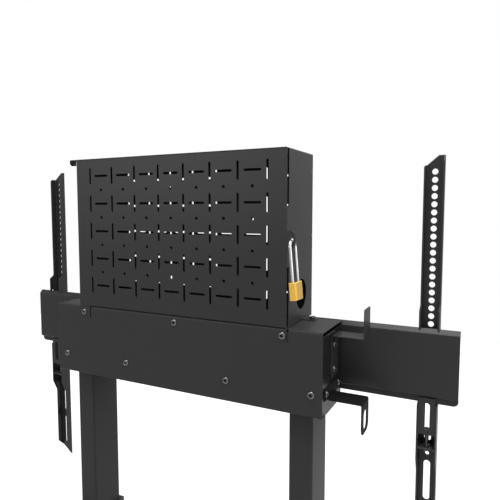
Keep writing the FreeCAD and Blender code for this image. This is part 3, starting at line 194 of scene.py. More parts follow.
class Graph:
    """A node tree with short calls for adding and linking its nodes."""

    def __init__(self, tree: bpy.types.NodeTree) -> None:
        """Wraps a node tree.

        Args:
            tree: The shader or geometry tree to fill.
        """
        self.tree = tree

    def add(self, kind: str, **settings: object) -> Node:
        """Adds a node and sets its properties.

        Args:
            kind: Class name of the node.
            **settings: Properties of the node by name.

        Returns:
            The new node.
        """
        node = self.tree.nodes.new(kind)
        for name, value in settings.items():
            setattr(node, name, value)
        return node

    def link(self, source: Socket, target: Socket) -> None:
        """Joins an output to an input."""
        self.tree.links.new(source, target)

    def feed(self, value: Value, target: Socket) -> None:
        """Links a socket to an input, or gives the input a plain value.

        Args:
            value: A socket, a number or a colour.
            target: The input.
        """
        if isinstance(value, Socket):
            self.link(value, target)
        elif isinstance(value, tuple):
            target.default_value = (*value, 1.0)
        else:
            target.default_value = value

    def math(self, operation: str, *values: Value) -> Socket:
        """Adds a math node.

        Args:
            operation: Name of the operation.
            *values: Its inputs in order, each a socket or a number.

        Returns:
            The socket with the result.
        """
        node = self.add("ShaderNodeMath", operation=operation)
        for value, socket in zip(values, node.inputs):
            self.feed(value, socket)
        return node.outputs[0]

    def mix_colour(self, factor: Value, first: Value, second: Value) -> Socket:
        """Adds a colour mix.

        Args:
            factor: A socket or a number from 0 to 1.
            first: Colour or socket at factor 0.
            second: Colour or socket at factor 1.

        Returns:
            The socket with the mixed colour.
        """
        node = self.add("ShaderNodeMix", data_type="RGBA")
        for value, index in zip((factor, first, second), COLOUR_MIX_INPUTS):
            self.feed(value, node.inputs[index])
        return node.outputs[COLOUR_MIX_OUTPUT]

    def noise(self, vector: Socket, scale: Value, detail: float) -> Socket:
        """Adds a noise texture.

        Args:
            vector: Coordinates in metres.
            scale: A socket or a number of features per metre.
            detail: Octaves of finer noise.

        Returns:
            The socket with the noise value.
        """
        node = self.add("ShaderNodeTexNoise")
        self.link(vector, node.inputs["Vector"])
        self.feed(scale, node.inputs["Scale"])
        node.inputs["Detail"].default_value = detail
        return node.outputs["Fac"]

    def remap(self, value: Socket, span: Span, start: Value = 0.0, end: Value = 1.0) -> Socket:
        """Adds a clamped change of range.

        Args:
            value: The socket to change.
            span: Its values that become start and end.
            start: Result at the span's first value, a number or a socket.
            end: Result at the span's second value, a number or a socket.

        Returns:
            The socket with the result.
        """
        node = self.add("ShaderNodeMapRange")
        self.link(value, node.inputs["Value"])
        node.inputs["From Min"].default_value = span[0]
        node.inputs["From Max"].default_value = span[1]
        self.feed(start, node.inputs["To Min"])
        self.feed(end, node.inputs["To Max"])
        return node.outputs["Result"]

    def effect(self, tree: bpy.types.NodeTree, place: Socket, values: dict[str, object]) -> Node:
        """Adds a shared shader group.

        Args:
            tree: The group.
            place: Coordinates in metres.
            values: Value of each named input.

        Returns:
            The group's node.
        """
        node = self.add("ShaderNodeGroup", node_tree=tree)
        self.link(place, node.inputs["Vector"])
        for name, value in values.items():
            node.inputs[name].default_value = value
        return node


def new_group(name: str, kind: TreeKind, inputs: Sequence[tuple[str, Kind, object]],
              outputs: Sequence[tuple[str, Kind]]) -> tuple[bpy.types.NodeTree, Graph, Node, Node]:
    """Makes a node group with named sockets.

    Args:
        name: Name of the group.
        kind: Type of the group.
        inputs: Name, socket type and default of each input.
        outputs: Name and socket type of each output.

    Returns:
        The tree, its graph, the group input node and the group output node.
    """
    tree = bpy.data.node_groups.new(name, kind.value)
    for label, socket_kind, default in inputs:
        socket = tree.interface.new_socket(label, in_out="INPUT", socket_type=socket_kind.value)
        if default is not None:
            socket.default_value = default
    for label, socket_kind in outputs:
        tree.interface.new_socket(label, in_out="OUTPUT", socket_type=socket_kind.value)
    graph = Graph(tree)
    return tree, graph, graph.add("NodeGroupInput"), graph.add("NodeGroupOutput")


@dataclass(frozen=True)
class CoatGrain:
    """Shader group of a coat: fine leathery height, small painted glints of light and slow patches of tone.
    """

    grain_scale: float = 900.0
    patch_scale: float = 5.0
    peel_detail: float = 2.0
    peel_share: float = 0.7
    fine_ratio: float = 3.1
    fine_detail: float = 1.0
    fine_share: float = 0.3
    painted_glint_ratio: float = 1.7
    painted_glint_span: Span = (0.62, 0.78)
    patch_span: Span = (0.3, 0.7)

    def build(self) -> bpy.types.NodeTree:
        """Makes the group.

        Returns:
            The group.
        """
        tree, graph, given, out = new_group(
            "coat_grain", TreeKind.SHADER,
            [("Vector", Kind.VECTOR, None), ("Grain Scale", Kind.FLOAT, self.grain_scale),
             ("Patch Scale", Kind.FLOAT, self.patch_scale)],
            [("Height", Kind.FLOAT), ("Glint", Kind.FLOAT), ("Patch", Kind.FLOAT)])
        place = given.outputs["Vector"]
        scale = given.outputs["Grain Scale"]
        peel = graph.noise(place, scale, self.peel_detail)
        fine = graph.noise(place, graph.math("MULTIPLY", scale, self.fine_ratio), self.fine_detail)
        height = graph.math("ADD", graph.math("MULTIPLY", peel, self.peel_share),
                            graph.math("MULTIPLY", fine, self.fine_share))
        graph.link(height, out.inputs["Height"])
        # Painted glints: sparkle spots that the coat lightens in its colour as painted highlights.
        painted_sparkle = graph.noise(place, graph.math("MULTIPLY", scale, self.painted_glint_ratio), 0.0)
        graph.link(graph.remap(painted_sparkle, self.painted_glint_span), out.inputs["Glint"])
        patches = graph.noise(place, given.outputs["Patch Scale"], 0.0)
        graph.link(graph.remap(patches, self.patch_span), out.inputs["Patch"])
        return tree


@dataclass(frozen=True)
class EdgeWearAndHighlight:
    """Shader group of rubbed edges with a painted highlight: the softened edges of a piece, broken up by
    noise, which the finishes lighten both as wear and as a painted highlight along the edge.
    """

    amount: float = 0.5
    scale: float = 60.0
    detail: float = 4.0
    rub_and_highlight_span: Span = (0.35, 0.7)
    least_rub_and_highlight: float = 0.25

    def build(self) -> bpy.types.NodeTree:
        """Makes the group.

        Returns:
            The group.
        """
        tree, graph, given, out = new_group(
            "edge_wear", TreeKind.SHADER,
            [("Vector", Kind.VECTOR, None), ("Amount", Kind.FLOAT, self.amount),
             ("Scale", Kind.FLOAT, self.scale)],
            [("Mask", Kind.FLOAT)])
        edge = graph.add("ShaderNodeAttribute", attribute_name="edge_wear")
        spots = graph.noise(given.outputs["Vector"], given.outputs["Scale"], self.detail)
        rub_and_highlight_spots = graph.remap(spots, self.rub_and_highlight_span, self.least_rub_and_highlight)
        rub_and_highlight_mask = graph.math("MULTIPLY", edge.outputs["Fac"], rub_and_highlight_spots)
        graph.link(graph.math("MULTIPLY", rub_and_highlight_mask, given.outputs["Amount"]), out.inputs["Mask"])
        return tree


@dataclass(frozen=True)
class MetalGrain:
    """Shader group of metal: stretched brush lines, cloudy handling marks and painted shade in the hollows.
    """

    brush_direction: Point = (1.0, 1.0, 0.05)
    brush_scale: float = 2500.0
    brush_detail: float = 2.0
    cloud_scale: float = 120.0
    cloud_detail: float = 3.0
    recess_shade_share: float = 0.94

    def build(self) -> bpy.types.NodeTree:
        """Makes the group.

        Returns:
            The group.
        """
        tree, graph, given, out = new_group(
            "metal_grain", TreeKind.SHADER,
            [("Vector", Kind.VECTOR, None), ("Brush Direction", Kind.VECTOR, self.brush_direction),
             ("Brush Scale", Kind.FLOAT, self.brush_scale)],
            [("Brush", Kind.FLOAT), ("Cloud", Kind.FLOAT), ("Grime", Kind.FLOAT)])
        place = given.outputs["Vector"]
        stretched = graph.add("ShaderNodeVectorMath", operation="MULTIPLY")
        graph.link(place, stretched.inputs[0])
        graph.link(given.outputs["Brush Direction"], stretched.inputs[1])
        brush = graph.noise(stretched.outputs["Vector"], given.outputs["Brush Scale"], self.brush_detail)
        graph.link(brush, out.inputs["Brush"])
        graph.link(graph.noise(place, self.cloud_scale, self.cloud_detail), out.inputs["Cloud"])
        # Painted shade: faces marked as hollow, inside a fastener's recess, are darkened.
        hollow = graph.add("ShaderNodeAttribute", attribute_name="hollow")
        graph.link(graph.math("MULTIPLY", hollow.outputs["Fac"], self.recess_shade_share), out.inputs["Grime"])
        return tree


class Effects:
    """The shader groups that the finishes share, each built once."""

    def __init__(self) -> None:
        """Builds the groups."""
        self.coat = CoatGrain().build()
        self.rub_and_highlight = EdgeWearAndHighlight().build()
        self.metal = MetalGrain().build()


EFFECTS = Effects()


def start_material(name: str) -> tuple[bpy.types.Material, Graph, Node, Socket]:
    """Makes a node material with an empty Principled shader.

    Args:
        name: Name of the material.

    Returns:
        The material, its graph, the shader node and the object coordinates.
    """
    material = bpy.data.materials.new(name)
    material.use_nodes = True
    graph = Graph(material.node_tree)
    shader = material.node_tree.nodes["Principled BSDF"]
    coordinates = graph.add("ShaderNodeTexCoord")
    return material, graph, shader, coordinates.outputs["Object"]


def add_bump(graph: Graph, shader: Node, height: Socket, distance: float, strength: float) -> None:
    """Feeds the shader's normal from a height.

    Args:
        graph: The material's graph.
        shader: The Principled shader.
        height: Height socket, about 0 to 1.
        distance: Height of 1 in metres.
        strength: Share of the effect.
    """
    bump = graph.add("ShaderNodeBump")
    bump.inputs["Distance"].default_value = distance
    bump.inputs["Strength"].default_value = strength
    graph.link(height, bump.inputs["Height"])
    graph.link(bump.outputs["Normal"], shader.inputs["Normal"])


@dataclass(frozen=True)
class PowderCoat:
    """Baked powder coat on sheet steel, with lightly rubbed edges that also carry a painted highlight, and
    small painted glints.
    """

    name: str
    slot: str
    colour: Colour
    patch_colour: Colour
    rub_and_highlight_colour: Colour
    roughness: float = 0.36
    specular: float = 0.25
    rub_and_highlight: float = 0.5
    grain_scale: float = 900.0
    grain_height: float = 0.000022
    bump_strength: float = 0.6
    painted_glint_share: float = 0.12
    roughness_spread: float = 0.006
    rubbed_gloss: float = 0.12

    def build(self) -> bpy.types.Material:
        """Makes the material.

        Returns:
            The material.
        """
        material, graph, shader, place = start_material(self.name)
        grain = graph.effect(EFFECTS.coat, place, {"Grain Scale": self.grain_scale})
        rub_and_highlight = graph.effect(EFFECTS.rub_and_highlight, place, {"Amount": self.rub_and_highlight})
        tone = graph.mix_colour(grain.outputs["Patch"], self.colour, self.patch_colour)
        # Painted glints: small spots of the coat lightened toward the edge colour as painted highlights.
        painted_glint = graph.math("MULTIPLY", grain.outputs["Glint"], self.painted_glint_share)
        tone = graph.mix_colour(painted_glint, tone, self.rub_and_highlight_colour)
        # Softened edges lightened: partly rubbed wear, partly a painted highlight along the edge.
        tone = graph.mix_colour(rub_and_highlight.outputs["Mask"], tone, self.rub_and_highlight_colour)
        graph.link(tone, shader.inputs["Base Color"])
        spread = graph.remap(grain.outputs["Patch"], (0.0, 1.0), self.roughness - self.roughness_spread,
                             self.roughness + self.roughness_spread)
        gloss = graph.math("MULTIPLY", rub_and_highlight.outputs["Mask"], self.rubbed_gloss)
        graph.link(graph.math("SUBTRACT", spread, gloss), shader.inputs["Roughness"])
        shader.inputs["Specular IOR Level"].default_value = self.specular
        add_bump(graph, shader, grain.outputs["Height"], self.grain_height, self.bump_strength)
        return material


@dataclass(frozen=True)
class Metal:
    """Bare or plated metal with brush lines, clouds, edges brightened by rubbing and by a painted highlight,
    and painted shade in its hollows.
    """

    name: str
    slot: str
    colour: Colour
    cloud_colour: Colour
    rub_and_highlight_colour: Colour
    roughness: float
    brush_height: float = 0.00001
    brush_direction: Point = (1.0, 1.0, 0.05)
    bump_strength: float = 0.5
    metallic: float = 1.0
    lacquer: float = 0.0
    grime: Colour = (0.006, 0.006, 0.006)
    cloud_span: Span = (0.3, 0.7)
    smooth_share: float = 0.8
    rough_share: float = 1.25

    def build(self) -> bpy.types.Material:
        """Makes the material.

        Returns:
            The material.
        """
        material, graph, shader, place = start_material(self.name)
        grain = graph.effect(EFFECTS.metal, place, {"Brush Direction": self.brush_direction})
        rub_and_highlight = graph.effect(EFFECTS.rub_and_highlight, place, {})
        cloud = graph.remap(grain.outputs["Cloud"], self.cloud_span)
        tone = graph.mix_colour(cloud, self.colour, self.cloud_colour)
        # Softened edges brightened: partly rubbed metal, partly a painted highlight along the edge.
        tone = graph.mix_colour(rub_and_highlight.outputs["Mask"], tone, self.rub_and_highlight_colour)
        # Painted shade: the recess of a fastener's head is darkened to near black.
        tone = graph.mix_colour(grain.outputs["Grime"], tone, self.grime)
        graph.link(tone, shader.inputs["Base Color"])
        roughness = graph.remap(cloud, (0.0, 1.0), self.roughness * self.smooth_share,
                                self.roughness * self.rough_share)
        graph.link(roughness, shader.inputs["Roughness"])
        shader.inputs["Metallic"].default_value = self.metallic
        shader.inputs["Coat Weight"].default_value = self.lacquer
        add_bump(graph, shader, grain.outputs["Brush"], self.brush_height, self.bump_strength)
        return material


@dataclass(frozen=True)
class MouldedPlastic:
    """Injection-moulded plastic with a fine spark-eroded grain."""

    name: str
    slot: str
    colour: Colour
    rub_and_highlight_tone: Colour
    roughness: float
    rub_and_highlight: float = 0.3
    grain_scale: float = 1800.0
    grain_height: float = 0.00004
    bump_strength: float = 0.5
    patch_share: float = 0.4
    height_span: Span = (0.3, 0.7)
    roughness_spread: float = 0.06

    def build(self) -> bpy.types.Material:
        """Makes the material.

        Returns:
            The material.
        """
        material, graph, shader, place = start_material(self.name)
        grain = graph.effect(EFFECTS.coat, place, {"Grain Scale": self.grain_scale})
        rub_and_highlight = graph.effect(EFFECTS.rub_and_highlight, place, {"Amount": self.rub_and_highlight})
        patch = graph.math("MULTIPLY", grain.outputs["Patch"], self.patch_share)
        tone = graph.mix_colour(patch, self.colour, self.rub_and_highlight_tone)
        # Softened edges toned: partly rubbed plastic, partly a painted highlight along the edges of the black
        # plastic.
        tone = graph.mix_colour(rub_and_highlight.outputs["Mask"], tone, self.rub_and_highlight_tone)
        graph.link(tone, shader.inputs["Base Color"])
        spread = self.roughness_spread
        roughness = graph.remap(grain.outputs["Height"], self.height_span, self.roughness - spread,
                                self.roughness + spread)
        graph.link(roughness, shader.inputs["Roughness"])
        add_bump(graph, shader, grain.outputs["Height"], self.grain_height, self.bump_strength)
        return material


Finish = PowderCoat | Metal | MouldedPlastic

ANTHRACITE = PowderCoat("anthracite_powder", "anthracite_coat", colour=(0.0215, 0.0215, 0.0219),
                        patch_colour=(0.0226, 0.0226, 0.0230), rub_and_highlight_colour=(0.060, 0.060, 0.062))
SHEET_COAT = PowderCoat("even_anthracite", "anthracite_coat", colour=(0.0275, 0.0275, 0.0279),
                        patch_colour=(0.0286, 0.0286, 0.0290), rub_and_highlight_colour=(0.060, 0.060, 0.062),
                        roughness=0.42, specular=0.14)
SATIN_COAT = PowderCoat("satin_anthracite", "anthracite_coat", colour=(0.0105, 0.0105, 0.0108),
                        patch_colour=(0.0115, 0.0115, 0.0118), rub_and_highlight_colour=(0.060, 0.060, 0.062),
                        roughness=0.27, specular=0.21)
ARM_COAT = PowderCoat("satin_black_powder", "anthracite_coat", colour=(0.0205, 0.0205, 0.0209),
                      patch_colour=(0.0216, 0.0216, 0.0220), rub_and_highlight_colour=(0.060, 0.060, 0.062),
                      roughness=0.31, specular=0.3)
# Near-black coat that stands in for shade: the upper left ear of the box and the lower cable hook under the
# beam are painted darker than their anthracite neighbours as painted shade.
SHADE_BLACK = PowderCoat("matte_black_powder", "black_coat", colour=(0.0092, 0.0092, 0.0094),
                         patch_colour=(0.0098, 0.0098, 0.0100), rub_and_highlight_colour=(0.030, 0.030, 0.031),
                         roughness=0.62, specular=0.08, rub_and_highlight=0.25)
BLACK_COAT = PowderCoat("black_powder", "black_coat", colour=(0.0145, 0.0145, 0.0149),
                        patch_colour=(0.0155, 0.0155, 0.0159), rub_and_highlight_colour=(0.040, 0.040, 0.042))
SCREW_STEEL = Metal("bright_screw", "zinc_steel", colour=(0.18, 0.18, 0.185),
                    cloud_colour=(0.13, 0.13, 0.135), rub_and_highlight_colour=(0.70, 0.70, 0.71), roughness=0.22)
DARK_SCREW = Metal("blackened_screw", "zinc_steel", colour=(0.11, 0.11, 0.115),
                   cloud_colour=(0.07, 0.07, 0.075), rub_and_highlight_colour=(0.55, 0.55, 0.56), roughness=0.2)
ZINC = Metal("bright_zinc", "zinc_steel", colour=(0.60, 0.61, 0.62), cloud_colour=(0.50, 0.52, 0.54),
             rub_and_highlight_colour=(0.8, 0.8, 0.8), roughness=0.3)
CHROME = Metal("polished_chrome", "bright_chrome", colour=(0.60, 0.60, 0.61),
               cloud_colour=(0.56, 0.56, 0.58), rub_and_highlight_colour=(0.82, 0.82, 0.82), roughness=0.12,
               brush_height=0.000004)
BRASS = Metal("brushed_brass", "lock_brass", colour=(0.93, 0.57, 0.09), cloud_colour=(0.89, 0.53, 0.08),
              rub_and_highlight_colour=(0.97, 0.80, 0.50), roughness=0.32, brush_direction=(1.0, 1.0, 0.03),
              metallic=0.8, lacquer=0.5)
CAST = Metal("cast_aluminium", "cast_housing", colour=(0.52, 0.53, 0.54), cloud_colour=(0.42, 0.43, 0.44),
             rub_and_highlight_colour=(0.7, 0.7, 0.71), roughness=0.48, brush_height=0.00006,
             brush_direction=(0.3, 0.3, 0.3))
BLACK_PLASTIC = MouldedPlastic("black_plastic_grain", "black_plastic", colour=(0.023, 0.023, 0.024),
                               rub_and_highlight_tone=(0.045, 0.045, 0.048), roughness=0.45)
NYLON = MouldedPlastic("nylon_natural", "white_nylon", colour=(0.72, 0.71, 0.66),
                       rub_and_highlight_tone=(0.60, 0.58, 0.52), roughness=0.4)


class Paintshop:
    """Keeps one material for each finish."""

    def __init__(self) -> None:
        """Starts with no material."""
        self.made: dict[str, bpy.types.Material] = {}

    def material(self, finish: Finish) -> bpy.types.Material:
        """Returns the finish's material and builds it the first time.

        Args:
            finish: The finish.

        Returns:
            Its material.
        """
        if finish.name not in self.made:
            self.made[finish.name] = finish.build()
        return self.made[finish.name]

    def coat(self, piece: bpy.types.Object, finish: Finish) -> None:
        """Gives a piece one finish all over."""
        piece.data.materials.clear()
        piece.data.materials.append(self.material(finish))

    def coat_nodes(self, finish: Finish, *names: str) -> None:
        """Gives carried-over solids a finish.

        Args:
            finish: The finish.
            *names: Node names.
        """
        for name in names:
            node = frame["nodes"][name]
            if not node.material_slots:
                node.data.materials.append(None)
            for slot in node.material_slots:
                slot.material = self.material(finish)


PAINT = Paintshop()


def new_piece(name: str, mesh: bpy.types.Mesh) -> bpy.types.Object:
    """Links a mesh object at the origin.

    Args:
        name: Name of the piece.
        mesh: Its mesh, in place.

    Returns:
        The object.
    """
    piece = bpy.data.objects.new(name, mesh)
    bpy.context.scene.collection.objects.link(piece)
    return piece


def discard(piece: bpy.types.Object) -> None:
    """Removes a helper piece and its mesh.

    Args:
        piece: The helper piece.
    """
    mesh = piece.data
    bpy.data.objects.remove(piece)
    bpy.data.meshes.remove(mesh)


def evaluated_mesh(piece: bpy.types.Object) -> bpy.types.Mesh:
    """Returns a plain mesh of a piece with its modifiers applied."""
    return bpy.data.meshes.new_from_object(piece.evaluated_get(bpy.context.evaluated_depsgraph_get()))


def shape_to_mesh(name: str, shape: Shape) -> bpy.types.Mesh:
    """Turns a shape into a mesh.

    Args:
        name: Name of the mesh.
        shape: The shape, freed here.

    Returns:
        The mesh.
    """
    mesh = bpy.data.meshes.new(name)
    shape.to_mesh(mesh)
    shape.free()
    return mesh


def mesh_to_shape(mesh: bpy.types.Mesh) -> Shape:
    """Turns a mesh into a shape.

    Args:
        mesh: The mesh, removed here.

    Returns:
        The shape.
    """
    shape = bmesh.new()
    shape.from_mesh(mesh)
    bpy.data.meshes.remove(mesh)
    return shape


def shade_smooth(mesh: bpy.types.Mesh) -> None:
    """Marks every face of a mesh as smooth."""
    mesh.polygons.foreach_set("use_smooth", [True] * len(mesh.polygons))


def merge_faces(shape: Shape, gap: float = MERGE_GAP) -> None:
    """Joins the points of a shape that coincide and clears the edges inside its flat faces.

    Args:
        shape: The shape.
        gap: Largest distance between points that are joined.
    """
    bmesh.ops.remove_doubles(shape, verts=shape.verts, dist=gap)
    bmesh.ops.dissolve_limit(shape, angle_limit=FLAT_ANGLE, verts=shape.verts, edges=shape.edges)


def corners_of(shape: Shape) -> tuple[Vector, Vector]:
    """Finds the box of a shape.

    Args:
        shape: The shape.

    Returns:
        The lowest and the highest corner.
    """
    low = Vector([min(vertex.co[axis] for vertex in shape.verts) for axis in range(3)])
    high = Vector([max(vertex.co[axis] for vertex in shape.verts) for axis in range(3)])
    return low, high


def soften_edges(shape: Shape, edge: Edge, angle: float = SHARP_ANGLE, segments: int = 2) -> None:
    """Rounds the sharp edges of a shape and marks the new faces for rubbed wear and a painted edge highlight.

    Args:
        shape: The closed shape.
        edge: Width of the rounding.
        angle: Smallest angle of an edge that is rounded, in degrees.
        segments: Faces across the rounding.
    """
    width = edge.value
    surface = BVHTree.FromBMesh(shape)
    low, high = corners_of(shape)
    rub_and_highlight = shape.faces.layers.float.get("edge_wear") or shape.faces.layers.float.new("edge_wear")
    sharp = [line for line in shape.edges
             if line.is_manifold and line.calc_face_angle() > math.radians(angle)]
    made = bmesh.ops.bevel(shape, geom=sharp, offset=width, offset_type="OFFSET", segments=segments,
                           profile=ROUND_PROFILE, affect="EDGES", clamp_overlap=False)
    for face in made["faces"]:
        face[rub_and_highlight] = 1.0
    for vertex in made["verts"]:
        place, _, _, distance = surface.find_nearest(vertex.co)
        if distance > width * STRAY_SHARE:
            vertex.co = place
        for axis in range(3):
            vertex.co[axis] = min(max(vertex.co[axis], low[axis]), high[axis])


def finished(name: str, shape: Shape, finish: Finish) -> bpy.types.Object:
    """Turns a shape into a shaded piece whose flat faces stay flat.

    Args:
        name: Name of the piece.
        shape: The shape, freed here.
        finish: Its finish.

    Returns:
        The piece.
    """
    mesh = shape_to_mesh(name, shape)
    shade_smooth(mesh)
    piece = new_piece(name, mesh)
    PAINT.coat(piece, finish)
    weigh = piece.modifiers.new("weighted_normal", "WEIGHTED_NORMAL")
    weigh.keep_sharp = True
    weigh.weight = NORMAL_WEIGHT
    applied = evaluated_mesh(piece)
    piece.modifiers.clear()
    piece.data = applied
    applied.name = name
    bpy.data.meshes.remove(mesh)
    return piece


def deliver(piece: bpy.types.Object, body: str, finish: Finish, *nodes: str) -> bpy.types.Object:
    """Puts a piece on its body in place of the solids that it stands for.

    Args:
        piece: The finished piece.
        body: Name of the body.
        finish: Its finish; not used.
        *nodes: Names of the solids that it replaces.

    Returns:
        The piece.
    """
    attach(piece, body)
    if nodes:
        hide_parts(*nodes)
    LOG.info("%s on %s, %d faces", piece.name, body, len(piece.data.polygons))
    return piece


def plate(outline: Outline, low: float, high: float) -> Shape:
    """Closed plate in the XZ plane between two depths.

    Args:
        outline: X and Z of its corners, in order.
        low: Lower Y.
        high: Upper Y.

    Returns:
        The shape.
    """
    shape = bmesh.new()
    near = [shape.verts.new((x, low, z)) for x, z in outline]
    far = [shape.verts.new((x, high, z)) for x, z in outline]
    shape.faces.new(near)
    shape.faces.new(list(reversed(far)))
    count = len(outline)
    for index in range(count):
        following = (index + 1) % count
        shape.faces.new((near[index], far[index], far[following], near[following]))
    bmesh.ops.recalc_face_normals(shape, faces=shape.faces)
    return shape


def relieved(name: str, shape: Shape, blocks: Sequence[Block]) -> Shape:
    """Cuts square-cornered blocks out of a shape.

    Args:
        name: Name of the piece.
        shape: The closed shape, freed here.
        blocks: Lowest and highest corner of each block.

    Returns:
        The cut shape.
    """
    piece = new_piece(name + "_whole", shape_to_mesh(name + "_whole", shape))
    cutters = []
    for low, high in blocks:
        outline = [(low[0], low[2]), (high[0], low[2]), (high[0], high[2]), (low[0], high[2])]
        block = shape_to_mesh(name + "_block", plate(outline, low[1], high[1]))
        cutters.append(new_piece(name + "_block", block))
        cut = piece.modifiers.new("cut", "BOOLEAN")
        cut.operation = "DIFFERENCE"
        cut.solver = "EXACT"
        cut.object = cutters[-1]
    relief = mesh_to_shape(evaluated_mesh(piece))
    for used in (piece, *cutters):
        discard(used)
    merge_faces(relief)
    return relief


def dressed_solid(node: str, finish: Finish, edge: Edge = Edge.SHEET, angle: float = SHARP_ANGLE,
                  blocks: Sequence[Block] = ()) -> bpy.types.Object:
    """Copy of a solid with merged faces and softened edges, in its place.

    Args:
        node: Name of the solid.
        finish: Its finish.
        edge: Width of the softened edges.
        angle: Smallest angle of an edge that is softened, in degrees.
        blocks: Blocks that are cut out, each by its lowest and highest corner.

    Returns:
        The piece.
    """
    source = frame["nodes"][node]
    shape = bmesh.new()
    shape.from_mesh(source.data)
    merge_faces(shape)
    if blocks:
        shape = relieved(node, shape, blocks)
    soften_edges(shape, edge, angle)
    return deliver(finished(node + "_skin", shape, finish), source["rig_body"], finish, node)


def ring(radius: Callable[[float], float], height: float, count: int) -> Ring:
    """Points of one turn of a turned shape.

    Args:
        radius: Radius for an angle in radians.
        height: Height along the axis.
        count: Number of points.

    Returns:
        The points.
    """
    angles = [math.tau * index / count for index in range(count)]
    return [Vector((radius(a) * math.cos(a), radius(a) * math.sin(a), height)) for a in angles]


def circle(radius: float, height: float, count: int) -> Ring:
    """Returns the points of a round turn at a height."""
    return ring(lambda angle: radius, height, count)


def skin(shape: Shape, rings: list[Ring]) -> None:
    """Joins rings of points with faces and closes both ends.

    Args:
        shape: Shape to add to.
        rings: Rings of the same length, from the start to the end.
    """
    made = [[shape.verts.new(point) for point in points] for points in rings]
    count = len(rings[0])
    for lower, upper in zip(made, made[1:]):
        for index in range(count):
            following = (index + 1) % count
            shape.faces.new((lower[index], lower[following], upper[following], upper[index]))
    shape.faces.new(list(reversed(made[0])))
    shape.faces.new(made[-1])
    bmesh.ops.recalc_face_normals(shape, faces=shape.faces)


def hexagon_radius(inner: float) -> Callable[[float], float]:
    """Radius of a regular hexagon by angle.

    Args:
        inner: Radius of the circle inside it.

    Returns:
        The function of the angle.
    """
    step = math.tau / SOCKET_SIDES

    def radius(angle: float) -> float:
        """Returns the distance to the side that this angle meets."""
        return inner / math.cos((angle + step / 2) % step - step / 2)

    return radius


@dataclass(frozen=True)
class FastenerHead:
    """Head of a screw or rivet, standing on the plane Z = 0 and pointing along +Z.

    Fields that end in share or level are parts of the head's half diameter or of its height.
    """

    diameter: float
    height: float
    shank: float
    length: float
    recess: Recess = Recess.HEX_SOCKET
    sides: int = 24
    foot_share: float = 0.985
    rim_level: float = 0.12
    crown_share: float = 0.08
    dome_turn: float = math.radians(62)
    dome_steps: int = 4
    socket_share: float = 0.4
    hollow_share: float = 0.43
    hollow_level: float = 0.97

    def mesh(self, name: str) -> bpy.types.Mesh:
        """Builds the head with its recess and its shank.

        Args:
            name: Name of the mesh.

        Returns:
            The mesh.
        """
        shape = bmesh.new()
        skin(shape, self.dome() + self.drive())
        self.mark_hollow(shape)
        mesh = shape_to_mesh(name, shape)
        shade_smooth(mesh)
        return mesh

    def dome(self) -> list[Ring]:
        """Rings of the shank and of the rounded head.

        Returns:
            The rings from the shank's end to the crown.
        """
        half = self.diameter / 2
        rings = [circle(self.shank / 2, -self.length, self.sides), circle(self.shank / 2, 0.0, self.sides),
                 circle(half * self.foot_share, 0.0, self.sides),
                 circle(half, self.height * self.rim_level, self.sides)]
        for step in range(1, self.dome_steps + 1):
            turn = step / self.dome_steps * self.dome_turn
            rise = (1 - self.rim_level) * math.sin(turn) / math.sin(self.dome_turn)
            rings.append(circle(half * math.cos(turn) + half * self.crown_share * math.sin(turn),
                                self.height * (self.rim_level + rise), self.sides))
        return rings

    def drive(self) -> list[Ring]:
        """Rings of the recess in the crown.

        Returns:
            The rings from its mouth down.
        """
        half = self.diameter / 2
        if self.recess is Recess.BLIND_RIVET:
            return [circle(half * share, self.height * level, self.sides)
                    for share, level in self.recess.value]
        wrench = hexagon_radius(half * self.socket_share)
        return [ring(lambda angle, part=share: wrench(angle) * part, self.height * level, self.sides)
                for share, level in self.recess.value]

    def mark_hollow(self, shape: Shape) -> None:
        """Marks the faces inside the recess, which the metal darkens as painted shade.

        Args:
            shape: The head's shape.
        """
        hollow = shape.faces.layers.float.new("hollow")
        for face in shape.faces:
            centre = face.calc_center_median()
            inside = centre.xy.length < self.diameter / 2 * self.hollow_share
            if inside and 0.0 < centre.z < self.height * self.hollow_level:
                face[hollow] = 1.0


def close_tree(graph: Graph, geometry: Socket, given: Node, out: Node) -> None:
    """Ends a geometry tree: makes its instances real and gives them their finish.

    Args:
        graph: The tree's graph.
        geometry: The socket with the result.
        given: The group input node.
        out: The group output node.
    """
    realized = graph.add("GeometryNodeRealizeInstances")
    graph.link(geometry, realized.inputs["Geometry"])
    material = graph.add("GeometryNodeSetMaterial")
    graph.link(realized.outputs["Geometry"], material.inputs["Geometry"])
    graph.link(given.outputs["Finish"], material.inputs["Material"])
    graph.link(material.outputs["Geometry"], out.inputs["Geometry"])


